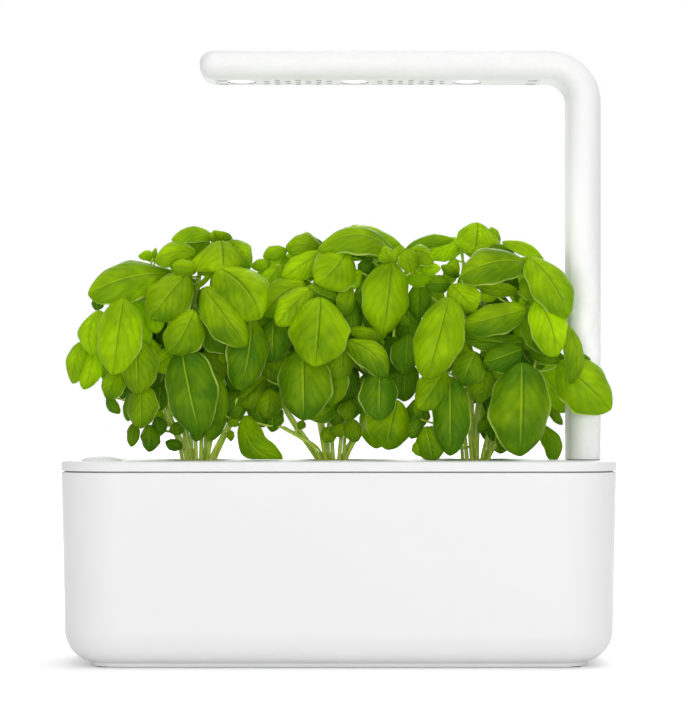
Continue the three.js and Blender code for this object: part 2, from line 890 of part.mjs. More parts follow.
// A row of a leaf table, in pixels of the photograph with depth measured to the back, holds the leaf's foot
// (column, row), its tip (column, row), its width, how far its midrib bows to the left of that
// line as a share of its length, the depth of foot and tip, and its roll in degrees
const leafTables = {
  left: [
    [208, 243, 180, 249, 18, -0.1, 0, -8, 20],
    [220, 242, 222, 271, 50, 0, -36, -60, 15],
    [226, 243, 248, 268, 22, 0.12, -34, -44, 20],
    [194, 254, 155, 261, 23, -0.12, -30, -50, 25],
    [163, 274, 90, 294, 38, -0.06, -40, -70, 25],
    [184, 275, 150, 317, 40, 0, -55, -75, 15],
    [219, 270, 258, 317, 46, 0.1, -60, -78, 20],
    [204, 290, 243, 344, 34, 0, -70, -84, 15],
    [250, 320, 239, 388, 36, 0.05, -62, -70, 15],
    [122, 301, 112, 372, 41, 0, -74, -88, 10],
    [98, 312, 92, 354, 24, -0.15, -55, -62, 20],
    [84, 343, 73, 372, 20, -0.1, -40, -45, 30],
    [94, 352, 84, 388, 24, 0.05, -48, -52, 10],
    [136, 340, 137, 392, 34, 0, -62, -70, 15],
    [118, 372, 106, 398, 22, -0.05, -50, -58, 20],
    [140, 386, 140, 427, 28, 0, -58, -64, 15],
    [182, 346, 150, 364, 18, 0, -20, -30, 30],
    [192, 312, 169, 352, 36, 0.05, -70, -86, 12],
    [197, 315, 237, 348, 34, 0, -50, -60, 15],
    [210, 348, 219, 380, 24, 0, -36, -42, 15],
    [181, 351, 198, 432, 46, 0, -78, -88, 8],
  ],
  middle: [
    [284, 256, 256, 292, 32, 0.05, -2, -10, 25],
    [320, 249, 287, 247, 26, -0.1, -10, -14, 20],
    [319, 253, 284, 277, 24, 0, -22, -34, 20],
    [347, 250, 318, 283, 42, 0.05, -45, -62, 15],
    [303, 284, 265, 314, 30, -0.1, -36, -46, 15],
    [311, 290, 278, 324, 26, -0.05, -60, -74, 12],
    [337, 300, 309, 287, 24, 0.05, -50, -60, 20],
    [274, 318, 272, 361, 30, 0, -38, -46, 15],
    [320, 300, 315, 364, 53, 0, -76, -88, 8],
    [303, 352, 304, 418, 48, 0, -62, -78, 10],
    [326, 362, 331, 405, 24, 0.1, -50, -55, 20],
    [247, 422, 281, 450, 25, -0.24, -16, -24, 10],
    [270, 390, 266, 418, 24, 0, -22, -26, 10],
    [264, 378, 237, 404, 26, 0, -12, -18, 20],
    [298, 348, 269, 366, 20, 0, -20, -24, 20],
    [395, 255, 321, 250, 26, -0.21, -30, -45, 40],
    [404, 257, 433, 261, 20, 0.2, -38, -48, 30],
    [391, 264, 383, 332, 42, 0, -46, -52, 12],
    [343, 346, 341, 381, 24, 0, -54, -60, 15],
    [348, 342, 386, 375, 26, 0.12, -60, -72, 20],
    [408, 336, 405, 373, 27, 0, -38, -44, 12],
    [380, 372, 379, 419, 34, 0, -66, -80, 10],
    [397, 402, 387, 452, 44, -0.03, -38, -46, 12],
  ],
  right: [
    [476, 224, 473, 254, 40, 0, -10, -24, 15],
    [458, 241, 428, 256, 20, 0, -4, -12, 20],
    [522, 263, 462, 277, 33, -0.1, -55, -75, 20],
    [530, 260, 570, 318, 36, 0.08, -62, -78, 15],
    [521, 280, 538, 297, 19, 0, -50, -54, 20],
    [537, 302, 554, 355, 33, 0.06, -68, -84, 12],
    [567, 328, 570, 382, 18, 0.1, -64, -70, 20],
    [560, 364, 606, 404, 44, 0, -54, -62, 12],
    [523, 310, 462, 326, 28, 0, -60, -72, 20],
    [520, 350, 484, 363, 27, 0, -64, -72, 15],
    [447, 300, 426, 376, 42, 0, -76, -90, 10],
    [451, 286, 473, 311, 28, 0, -56, -66, 15],
    [417, 284, 417, 318, 22, 0, -16, -20, 20],
    [463, 341, 451, 366, 25, 0, -56, -62, 15],
    [474, 353, 461, 382, 29, 0, -66, -74, 12],
    [484, 370, 479, 402, 25, 0, -50, -56, 15],
    [443, 371, 419, 408, 30, 0, -72, -82, 12],
    [449, 380, 449, 453, 34, 0, -72, -86, 10],
    [521, 366, 519, 453, 54, 0, -74, -88, 8],
    [541, 428, 548, 456, 17, 0.2, -40, -50, 15],
    [425, 431, 437, 456, 19, 0, -72, -80, 12],
    [525, 316, 548, 352, 24, 0, -48, -56, 15],
  ],
};

// Stems: [column, row, depth] of their points, from the pod upwards
const stemTables = {
  left: [
    [[186, 461, -4], [180, 440, -8], [166, 410, -14], [148, 370, -22], [134, 325, -28], [142, 285, -30]],
    [[190, 461, 6], [183, 435, 4], [176, 390, 2], [172, 340, -4], [172, 290, -10]],
    [[195, 461, -2], [194, 425, -6], [193, 370, -14], [194, 315, -18], [200, 268, -16]],
    [[200, 461, 4], [201, 425, 2], [206, 370, -4], [210, 310, -10], [215, 252, -12]],
    [[206, 461, -3], [211, 435, -8], [220, 400, -16], [226, 365, -22], [224, 325, -26], [220, 285, -24]],
  ],
  middle: [
    [[322, 461, 2], [313, 448, 0], [296, 424, -4], [284, 400, -8], [284, 360, -12], [290, 320, -14]],
    [[326, 461, -4], [322, 440, -10], [316, 400, -18], [312, 350, -24], [312, 300, -22], [318, 262, -12]],
    [[333, 461, 5], [332, 430, 2], [334, 380, -4], [340, 330, -12], [348, 270, -18]],
    [[339, 461, -2], [342, 430, -6], [350, 380, -14], [364, 320, -20], [384, 268, -22]],
    [[345, 461, 3], [354, 442, 0], [372, 415, -8], [388, 375, -14], [394, 330, -18], [394, 280, -20]],
  ],
  right: [
    [[466, 461, 2], [464, 438, 0], [460, 405, -10], [454, 360, -16], [450, 310, -18]],
    [[471, 461, -4], [469, 435, -10], [468, 395, -20], [468, 350, -24], [462, 300, -22], [462, 262, -8]],
    [[476, 461, 5], [477, 430, 2], [482, 380, -2], [484, 320, -4], [480, 240, -4]],
    [[481, 461, -2], [487, 435, -8], [500, 395, -16], [514, 350, -22], [522, 300, -24], [520, 262, -22]],
    [[486, 461, 3], [497, 440, 0], [516, 405, -10], [534, 365, -20], [542, 325, -26]],
  ],
};

// The pixel of the photograph at which each pod's axis meets the lid, and the size of a pixel there
const podPixels = { left: [196, 459.8], middle: [337, 459.8], right: [476, 459.8] };
const pixelSize = (2 * podPitch) / (podPixels.right[0] - podPixels.left[0]);

// Where a leaf table's column, row and depth lie beside a pod
function place(side, column, row, depth) {
  const [podColumn, lidRow] = podPixels[side];
  const x = podPlaces[side] + (column - podColumn) * pixelSize;
  const y = depth * pixelSize;
  const z = lidTop + (lidRow - row) * pixelSize;
  const nearer = y / viewDistance;
  return new THREE.Vector3(x + (x - viewX) * nearer, y, z + (z - viewHeight) * nearer);
}

// Each share of a leaf's length with its half width there, as a share of the largest
const leafShares = [[0.22, 0.84], [0.64, 0.92]];
const broadShares = [[0.14, 0.68], [0.42, 1], [0.76, 0.72]];
const broadLeaf = 19;
const bulgeShare = 0.12;
const cupShare = 0.3;

// The solid of one leaf blade, domed towards its face
function bladeSolid(foot, tip, width, bow, roll, outward) {
  const length = foot.distanceTo(tip);
  const across = new THREE.Vector3(foot.z - tip.z, 0, tip.x - foot.x).normalize();
  const forward = new THREE.Vector3(0, -1, 0);
  const control = foot.clone().lerp(tip, 1 / 2).addScaledVector(across, 2 * bow * length);
  control.addScaledVector(forward, 2 * bulgeShare * length);
  const midrib = new THREE.QuadraticBezierCurve3(foot, control, tip);
  const lean = across.z + across.x * outward < 0 ? -roll : roll;
  const angle = THREE.MathUtils.degToRad(lean);
  const side = across.clone().multiplyScalar(Math.cos(angle)).addScaledVector(forward, -Math.sin(angle));
  const face = (share) => {
    const along = midrib.getTangent(share);
    const normal = new THREE.Vector3().crossVectors(side, along).normalize();
    return normal.dot(forward) < 0 ? normal.negate() : normal;
  };
  const half = width / 2 / Math.cos(angle);
  const section = (share, reach, thickness) => {
    const middle = midrib.getPoint(share);
    const normal = face(share);
    const edge = middle.clone().addScaledVector(normal, -cupShare * reach);
    return [
      edge.clone().addScaledVector(side, reach),
      middle.clone().addScaledVector(normal, thickness / 2),
      edge.clone().addScaledVector(side, -reach),
      middle.clone().addScaledVector(normal, -thickness / 2),
    ];
  };
  const rings = [section(0, stalkRadius, stalkRadius)];
  const shares = width > broadLeaf ? broadShares : leafShares;
  for (const [share, reach] of shares) rings.push(section(share, reach * half, leafThickness));
  rings.push(section(1, stalkRadius / 4, stalkRadius / 4));
  return solid(loft(rings));
}

// A straight three-sided rod between two points
function rod(from, to, radius) {
  const along = to.clone().sub(from).normalize();
  const turn = new THREE.Quaternion().setFromUnitVectors(new THREE.Vector3(0, 0, 1), along);
  const ring = (centre, reach) =>
    [0, 1, 2].map((i) => {
      const angle = (2 * Math.PI * i) / 3;
      const corner = new THREE.Vector3(radius * Math.cos(angle), radius * Math.sin(angle), reach);
      return corner.applyQuaternion(turn).add(centre);
    });
  return solid(loft([ring(from, -radius / 2), ring(to, radius / 2)]));
}

// A stem that thins out upwards
function stemSolid(points) {
  const path = new THREE.CatmullRomCurve3(points);
  const count = points.length;
  const sides = 4;
  const rings = [];
  for (let i = 0; i <= count; i++) {
    const share = i / count;
    const centre = path.getPoint(share);
    const along = path.getTangent(share);
    const right = new THREE.Vector3(0, 1, 0).cross(along).normalize();
    const back = along.clone().cross(right);
    const radius = THREE.MathUtils.lerp(stemRadius, stemTipRadius, share);
    const ring = [];
    for (let j = 0; j < sides; j++) {
      const angle = (2 * Math.PI * j) / sides;
      const point = centre.clone().addScaledVector(right, radius * Math.cos(angle));
      ring.push(point.addScaledVector(back, radius * Math.sin(angle)));
    }
    rings.push(ring);
  }
  return solid(loft(rings));
}

// The point of the stems that a leaf's stalk grows from: near its foot and a little below it
function stemPointFor(foot, stems) {
  const cost = (point) => point.distanceTo(foot) + 2 * Math.max(0, point.z - foot.z + stemRadius);
  return stems.flat().reduce((best, point) => (cost(point) < cost(best) ? point : best));
}

// The leaves at the back mirror the broad ones in front, drawn in towards the pod
const backShare = 0.8;
const backSpread = 60;
const backWidth = 30;

function backRows(side) {
  const pod = podPixels[side][0];
  const beside = { left: -1, middle: 0, right: 1 }[side];
  const isKept = ([footX, , tipX, , width]) => {
    const offset = (footX + tipX) / 2 - pod;
    return width >= backWidth && (Math.abs(offset) < backSpread || offset * beside > 0);
  };
  const mirror = ([footX, footZ, tipX, tipZ, width, bow, footDepth, tipDepth, roll]) => [
    pod + (footX - pod) * backShare,
    footZ,
    pod + (tipX - pod) * backShare,
    tipZ,
    width * backShare,
    bow,
    -footDepth,
    -tipDepth,
    roll,
  ];
  return leafTables[side].filter(isKept).map(mirror);
}

function makePlant(side, crownBottom) {
  const outward = (row) => Math.sign((row[0] + row[2]) / 2 - podPixels[side][0]);
  const pieces = [
    cylinder(crownRadius, crownBottom, crownBottom + crownHeight, podPlaces[side], 0, steps.small),
  ];
  const stems = stemTables[side].map((points) => {
    const placed = points.map(([column, row, depth]) => place(side, column, row, depth));
    const below = placed[0].clone().setZ(crownBottom + crownHeight / 2);
    return [below, ...placed];
  });
  for (const stem of stems) pieces.push(stemSolid(stem));
  const sampled = stems.map((stem) => new THREE.CatmullRomCurve3(stem).getPoints(24).slice(8));
  const addLeaf = (row, flip) => {
    const foot = place(side, row[0], row[1], row[6]);
    const tip = place(side, row[2], row[3], row[7]);
    let blade = bladeSolid(
      foot.clone().setY(flip * foot.y),
      tip.clone().setY(flip * tip.y),
      row[4] * pixelSize,
      row[5],
      row[8],
      outward(row),
    );
    if (flip < 0) blade = blade.mirror([0, 1, 0]);
    pieces.push(blade);
    pieces.push(rod(stemPointFor(foot, sampled), foot, stalkRadius));
  };
  for (const row of leafTables[side]) addLeaf(row, 1);
  for (const row of backRows(side)) addLeaf(row, -1);
  addPart(`basil_${side}`, join(pieces), plastic(0x5f9210, 0.5));
}

makeTub();
makeFoot();
makeLid();
makeFloat();
makeSocket();
makeInlet();
for (const [side, x] of Object.entries(podPlaces)) {
  makePlant(side, makePod(side, x));
}
makeArm();
makeLampShell();
makeLampCover();
makeCoverScrews();
makeLights();
makeHeatSink();
makeLampPlug();

export default root;
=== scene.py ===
# Countertop garden with three basil pods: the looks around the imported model
import math

import bmesh
import bpy
from mathutils import Matrix, Vector


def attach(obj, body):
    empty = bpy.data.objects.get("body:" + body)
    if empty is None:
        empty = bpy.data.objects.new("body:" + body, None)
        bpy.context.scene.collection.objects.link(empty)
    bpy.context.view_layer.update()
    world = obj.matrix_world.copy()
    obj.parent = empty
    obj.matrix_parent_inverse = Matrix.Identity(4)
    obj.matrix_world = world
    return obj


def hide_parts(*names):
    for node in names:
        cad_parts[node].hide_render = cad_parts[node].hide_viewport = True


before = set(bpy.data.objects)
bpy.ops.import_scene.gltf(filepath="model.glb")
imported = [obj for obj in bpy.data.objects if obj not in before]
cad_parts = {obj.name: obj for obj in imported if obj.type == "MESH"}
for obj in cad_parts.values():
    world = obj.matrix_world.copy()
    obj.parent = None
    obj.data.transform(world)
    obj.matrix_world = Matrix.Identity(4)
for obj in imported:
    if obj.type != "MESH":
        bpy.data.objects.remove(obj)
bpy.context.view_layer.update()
mm = 0.001  # every size of a piece below is in millimetres


# camera

cameraSetup = {
    "x": 2.8, "y": -1460.5, "z": 136.5, "lens": 130.2, "sensor": 36,
    "shiftUp": 56.9 / 720,  # as a share of the picture's height
    "near": 0.01, "far": 100,
}


def makeCamera():
    c = cameraSetup
    bpy.ops.object.camera_add(
        location=(c["x"] * mm, c["y"] * mm, c["z"] * mm), rotation=(math.radians(90), 0, 0)
    )
    camera = bpy.context.object
    camera.name = "photoCamera"
    camera.data.sensor_width = c["sensor"]
    camera.data.lens = c["lens"]
    camera.data.shift_y = c["shiftUp"]
    camera.data.clip_start = c["near"]
    camera.data.clip_end = c["far"]
    bpy.context.scene.camera = camera


makeCamera()
print("camera made")


# modelling helpers

tinySides, smallSides, screwSides, plainSides, wideSides, holeSides = 24, 32, 40, 64, 72, 96
cutOver = 1  # a cutter reaches this far past the wall that it cuts


def deselectAll():
    active = bpy.context.object
    if active and active.mode != "OBJECT":
        bpy.ops.object.mode_set(mode="OBJECT")
    bpy.ops.object.select_all(action="DESELECT")


def activate(piece):
    deselectAll()
    piece.select_set(True)
    bpy.context.view_layer.objects.active = piece


def nameNew(name):
    piece = bpy.context.object
    piece.name = name
    piece.data.name = name
    bpy.ops.object.transform_apply(location=True, rotation=True, scale=True)
    return piece


def addBlock(name, low, high):
    deselectAll()
    middle = [(a + b) / 2 * mm for a, b in zip(low, high)]
    size = [(b - a) * mm for a, b in zip(low, high)]
    bpy.ops.mesh.primitive_cube_add(size=1, location=middle, scale=size)
    return nameNew(name)


def addRod(name, radius, low, high, x=0, y=0, sides=plainSides):
    deselectAll()
    bpy.ops.mesh.primitive_cylinder_add(
        vertices=sides,
        radius=radius * mm,
        depth=(high - low) * mm,
        location=(x * mm, y * mm, (low + high) / 2 * mm),
    )
    return nameNew(name)


# like rods at several spots, to cut with or to join
def addRods(name, radius, low, high, spots, sides):
    return [addRod(f"{name}{i}", radius, low, high, x, y, sides) for i, (x, y) in enumerate(spots)]


def enterEdit(piece):
    activate(piece)
    bpy.ops.object.mode_set(mode="EDIT")


def leaveEdit():
    bpy.ops.object.mode_set(mode="OBJECT")


# selects the faces or edges that pass a test
def pickParts(piece, kind, test):
    bpy.ops.mesh.select_mode(type=kind)
    bpy.ops.mesh.select_all(action="DESELECT")
    net = bmesh.from_edit_mesh(piece.data)
    for part in net.faces if kind == "FACE" else net.edges:
        part.select_set(bool(test(part)))
    bmesh.update_edit_mesh(piece.data)


def pickFaces(piece, test):
    pickParts(piece, "FACE", lambda face: test(face.calc_center_median() / mm, face.normal))


def pickEdges(piece, test):
    pickParts(piece, "EDGE", lambda edge: test(edge.verts[0].co / mm, edge.verts[1].co / mm))


flatShare = 0.9  # a face is level where its normal is at least this upright
levelSlack = 0.02  # an edge is at a height where its ends are this near


def facesUp(at, normal):
    return normal.z > flatShare


def facesDown(at, normal):
    return normal.z < -flatShare


def isUpright(a, b):
    return abs(a.z - b.z) > 1


def isLevelAt(height):
    return lambda a, b: abs(a.z - height) < levelSlack and abs(b.z - height) < levelSlack


def roundPicked(radius, segments):
    bpy.ops.mesh.bevel(
        offset=radius * mm, segments=segments, profile=0.5, affect="EDGES", clamp_overlap=False
    )


def insetPicked(width, rise=0):
    bpy.ops.mesh.inset(thickness=width * mm, depth=0, use_even_offset=True)
    if rise:
        bpy.ops.transform.translate(value=(0, 0, rise * mm))


def pushPicked(height, x=0):
    bpy.ops.mesh.extrude_region_move(TRANSFORM_OT_translate={"value": (x * mm, 0, height * mm)})


def resizePicked(share, shareY=None, x=0):
    bpy.ops.transform.resize(value=(share, shareY or share, 1), center_override=(x * mm, 0, 0))


# opens a flat piece into a ring as wide as this
def openRing(piece, width):
    enterEdit(piece)
    pickFaces(piece, lambda at, normal: facesUp(at, normal) or facesDown(at, normal))
    insetPicked(width)
    bpy.ops.mesh.bridge_edge_loops()
    leaveEdit()


def applyModifier(piece, kind, **values):
    activate(piece)
    modifier = piece.modifiers.new(kind.title(), kind)
    for key, value in values.items():
        setattr(modifier, key, value)
    bpy.ops.object.modifier_apply(modifier=modifier.name)


def joinPieces(pieces):
    deselectAll()
    for piece in pieces:
        piece.select_set(True)
    bpy.context.view_layer.objects.active = pieces[0]
    if len(pieces) > 1:
        bpy.ops.object.join()
    return pieces[0]


def cutWith(piece, *cutters):
    cutter = joinPieces(cutters)
    applyModifier(piece, "BOOLEAN", object=cutter, operation="DIFFERENCE", solver="EXACT", use_self=True)
    bpy.data.objects.remove(cutter)


def softenRims(piece, width, segments=2, angle=50):
    applyModifier(
        piece, "BEVEL", width=width * mm, segments=segments, limit_method="ANGLE",
        angle_limit=math.radians(angle), use_clamp_overlap=True,
    )


def finishSurface(piece, angle=40):
    activate(piece)
    bpy.ops.object.shade_smooth_by_angle(angle=math.radians(angle))
    applyModifier(piece, "WEIGHTED_NORMAL", keep_sharp=True)


def copyPiece(piece, name, x, y):
    copy = piece.copy()
    copy.data = piece.data.copy()
    copy.name = name
    copy.data.name = name
    bpy.context.collection.objects.link(copy)
    copy.data.transform(Matrix.Translation((x * mm, y * mm, 0)))
    return copy


def dress(piece, finish):
    piece.data.materials.clear()
    piece.data.materials.append(finish)


def place(piece, body, slot, finish, node):
    dress(piece, finish)
    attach(piece, body)
    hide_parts(node)


def finishPiece(piece, rim, *placing, **rims):
    softenRims(piece, rim, **rims)
    finishSurface(piece)
    place(piece, *placing)


# a piece at the first spot is copied to the others, and each takes its numbered node's place
def placeCopies(first, name, spots, body, slot, finish, node):
    x, y = spots[0]
    pieces = [first]
    for i, (copyX, copyY) in enumerate(spots[1:], 2):
        pieces.append(copyPiece(first, f"{name}{i}", copyX - x, copyY - y))
    for i, piece in enumerate(pieces, 1):
        place(piece, body, slot, finish, f"{node}_{i}")


# finishes: noises repeat this often per metre, and bumps are in metres

noiseMiddle = (0.3, 0.7)  # most of a noise lies between these


# a node tree with short ways to add and link its nodes
class NodeNet:
    def __init__(self, tree):
        self.nodes = tree.nodes
        self.links = tree.links

    def add(self, kind, **inputs):
        node = self.nodes.new("ShaderNode" + kind)
        for name, value in inputs.items():
            self.feed(node.inputs[name], value)
        return node

    # a number or a tuple is set on the socket, and an output is linked to it
    def feed(self, socket, value):
        if isinstance(value, (int, float)):
            socket.default_value = value
        elif isinstance(value, tuple):
            socket.default_value = (*value, 1)[: len(socket.default_value)]
        else:
            self.links.new(value, socket)

    def noise(self, vector, scale, detail=3, roughness=0.55):
        node = self.add("TexNoise", Vector=vector, Scale=scale, Detail=detail, Roughness=roughness)
        return node.outputs["Fac"]

    def spread(self, value, low, high, toLow, toHigh):
        ends = {"From Min": low, "From Max": high, "To Min": toLow, "To Max": toHigh}
        return self.add("MapRange", Value=value, **ends).outputs["Result"]

    def math(self, operation, *values, clamp=False):
        node = self.add("Math")
        node.operation = operation
        node.use_clamp = clamp
        for socket, value in zip(node.inputs, values):
            self.feed(socket, value)
        return node.outputs["Value"]

    def times(self, first, second):
        return self.math("MULTIPLY", first, second)

    def plus(self, first, second, clamp=False):
        return self.math("ADD", first, second, clamp=clamp)

    def minus(self, first, second):
        return self.math("SUBTRACT", first, second)

    def power(self, first, second):
        return self.math("POWER", first, second)

    def most(self, first, second):
        return self.math("MAXIMUM", first, second)

    def size(self, value):
        return self.math("ABSOLUTE", value)

    def blend(self, amount, first, second):
        node = self.add("Mix")
        node.data_type = "RGBA"
        for number, value in ((0, amount), (6, first), (7, second)):
            self.feed(node.inputs[number], value)
        return node.outputs[2]

    def bump(self, height, distance, strength=1.0, **under):
        node = self.add("Bump", Height=height, Distance=distance, Strength=strength, **under)
        return node.outputs["Normal"]

    def split(self, vector):
        return self.add("SeparateXYZ", Vector=vector).outputs

    def mixShaders(self, share, first, second):
        node = self.add("MixShader")
        for socket, value in zip(node.inputs, (share, first, second)):
            self.feed(socket, value)
        return node.outputs["Shader"]

    # rays that see the white background: straight, through glass or in a reflection
    def seeingRays(self):
        path = self.add("LightPath").outputs
        seen = self.most(path["Is Camera Ray"], path["Is Transmission Ray"])
        return self.most(seen, path["Is Glossy Ray"])


class Finish(NodeNet):
    def __init__(self, name):
        self.material = bpy.data.materials.new(name)
        self.material.use_nodes = True
        super().__init__(self.material.node_tree)
        self.shader = self.nodes["Principled BSDF"]
        self.where = self.add("TexCoord").outputs
        self.at = self.where["Object"]

    def put(self, name, value):
        self.feed(self.shader.inputs[name], value)

    def stretched(self, scale):
        return self.add("Mapping", Vector=self.at, Scale=scale).outputs["Vector"]

    def attribute(self, name):
        node = self.add("Attribute")
        node.attribute_name = name
        return node.outputs["Fac"]


plasticLook = {
    "cloud": (18, 4), "smear": (90, 5), "speckDetail": 2, "glossier": 0.02, "duller": 0.03,
    "paintedShadeSamples": 8, "paintedShadeTone": 0.15,
}


# moulded plastic: a faint cloud in the colour, a finer one in the gloss and a fine grain
def mouldedPlastic(name, tone, gloss, grain=0.000002, grainScale=1200, drift=0.004, mirror=0.5, paintedShade=None):
    look = plasticLook
    net = Finish(name)
    dark = tuple(max(0, c - drift) for c in tone)
    light = tuple(c + drift for c in tone)
    colour = net.blend(net.spread(net.noise(net.at, *look["cloud"]), *noiseMiddle, 0, 1), dark, light)
    # painted shade: in narrow joints and small holes, where ambient occlusion finds near surfaces, the
    # colour is darkened towards a shaded tone
    if paintedShade:
        nook = net.add("AmbientOcclusion", Distance=paintedShade["reach"])
        nook.samples = look["paintedShadeSamples"]
        shade = net.spread(nook.outputs["AO"], paintedShade["closed"], paintedShade["open"], paintedShade["shade"], 0)
        colour = net.blend(shade, colour, tuple(c * look["paintedShadeTone"] for c in tone))
    net.put("Base Color", colour)
    smear = net.noise(net.at, *look["smear"])
    net.put("Roughness", net.spread(smear, *noiseMiddle, gloss - look["glossier"], gloss + look["duller"]))
    net.put("Specular IOR Level", mirror)
    net.put("Normal", net.bump(net.noise(net.at, grainScale, look["speckDetail"]), grain))
    return net.material


metalLook = {"streakDetail": 4, "darker": 0.86, "glossier": 0.06, "duller": 0.08, "relief": 0.00002}


def metalFinish(name, tone, gloss, brush):
    look = metalLook
    net = Finish(name)
    streak = net.noise(net.stretched(brush), 1, look["streakDetail"])
    net.put("Metallic", 1)
    net.put("Base Color", net.blend(streak, tuple(c * look["darker"] for c in tone), tone))
    net.put("Roughness", net.spread(streak, *noiseMiddle, gloss - look["glossier"], gloss + look["duller"]))
    net.put("Normal", net.bump(streak, look["relief"]))
    return net.material


peatLook = {
    "crumb": (900, 6, 0.7), "fibre": 700, "range": (0.05, 0.45), "gloss": 0.95, "relief": 0.0009,
    "dark": (0.012, 0.007, 0.004), "light": (0.085, 0.048, 0.026),
}


def peatFinish():
    look = peatLook
    net = Finish("peat")
    fibre = net.add("TexVoronoi", Vector=net.at, Scale=look["fibre"])
    mixed = net.times(net.noise(net.at, *look["crumb"]), fibre.outputs["Distance"])
    net.put("Base Color", net.blend(net.spread(mixed, *look["range"], 0, 1), look["dark"], look["light"]))
    net.put("Roughness", look["gloss"])
    net.put("Normal", net.bump(mixed, look["relief"]))
    return net.material


paperLook = {"pulp": (1500, 5, 0.65), "darker": 0.9, "gloss": 0.85, "relief": 0.00006}


def paperFinish(name, tone):
    look = paperLook
    net = Finish(name)
    pulp = net.noise(net.at, *look["pulp"])
    net.put("Base Color", net.blend(pulp, tuple(c * look["darker"] for c in tone), tone))
    net.put("Roughness", look["gloss"])
    net.put("Normal", net.bump(pulp, look["relief"]))
    return net.material


lensLook = {
    "frost": (1400, 3), "gloss": (0.22, 0.34), "relief": 0.00002,
    # the lens has a painted glow: it emits light of its own, so that it reads white although nothing lights
    # it from inside
    "sockets": {
        "Base Color": (0.93, 0.95, 0.96), "Transmission Weight": 0.12, "Subsurface Weight": 0.4,
        "Subsurface Scale": 0.002, "IOR": 1.49, "Emission Color": (1, 1, 1), "Emission Strength": 0.45,
    },
}


def lensFinish():
    look = lensLook
    net = Finish("frostedLensPaintedGlow")
    for name, value in look["sockets"].items():
        net.put(name, value)
    frost = net.noise(net.at, *look["frost"])
    net.put("Roughness", net.spread(frost, *noiseMiddle, *look["gloss"]))
    net.put("Normal", net.bump(frost, look["relief"]))
    return net.material


stemLook = {
    "stretch": (1400, 1400, 160), "detail": 4, "gloss": (0.38, 0.52), "relief": 0.00012,
    "dark": (0.34, 0.52, 0.02), "light": (0.66, 0.82, 0.10), "milk": 0.15, "milkDepth": 0.002,
}


def stemFinish():
    look = stemLook
    net = Finish("basilStem")
    fibre = net.noise(net.stretched(look["stretch"]), 1, look["detail"])
    net.put("Base Color", net.blend(net.spread(fibre, *noiseMiddle, 0, 1), look["dark"], look["light"]))
    net.put("Roughness", net.spread(fibre, *noiseMiddle, *look["gloss"]))
    net.put("Subsurface Weight", look["milk"])
    net.put("Subsurface Scale", look["milkDepth"])
    net.put("Normal", net.bump(fibre, look["relief"]))
    return net.material


# places and widths across a blade are shares of half its width, and those along it of its length
leafLook = {
    "deep": (0.055, 0.168, 0.0010), "fresh": (0.630, 0.890, 0.0010), "contrast": 1.45,
    # the rib colour and the dark one after it are the painted highlight and the painted shade along the
    # midrib and veins
    "rib": (0.560, 0.780, 0.030), "ribShade": (0.035, 0.110, 0.001), "litShare": 0.55, "ribShadeShare": 0.6,
    "rim": (0.780, 0.940, 0.200), "through": (0.600, 0.860, 0.0005),
    "veins": 5.0, "veinSlope": 1.5, "veinBend": 1.2, "veinWidth": 0.055, "veinEnd": (0.5, 0.95),
    "wander": (85, 2), "wanderReach": 1.8, "uneven": (55, 2), "unevenRange": (0.4, 0.62, 0.25, 1),
    "midrib": (0.010, 0.045), "litLine": (-0.02, 0.012, 0.05), "shadedLine": (0.05, 0.010, 0.045),
    "lineEnd": (0.7, 0.97), "litVein": 0.3, "shadedVein": 0.12,
    "quiltPower": 0.6, "quiltLightAndShade": (0.035, -0.05), "cloud": (95, 4), "cloudTone": (-0.1, 0.1),
    "patch": (38, 2), "patchRange": (0.35, 0.65, -0.19, 0.17),
    "catch": (45, 2), "catchRange": (0.42, 0.58, 0.3, 1), "rimHighlightRange": (0.92, 0.99, 0, 0.95),
    "fine": (1300, 3), "fineRelief": 0.00008, "gloss": (0.37, 0.54), "mirror": 0.10,
    "quiltDepth": -0.7, "grooveDepth": -0.5, "midribDepth": 1.5, "relief": 0.0006, "reliefStrength": 0.6,
}
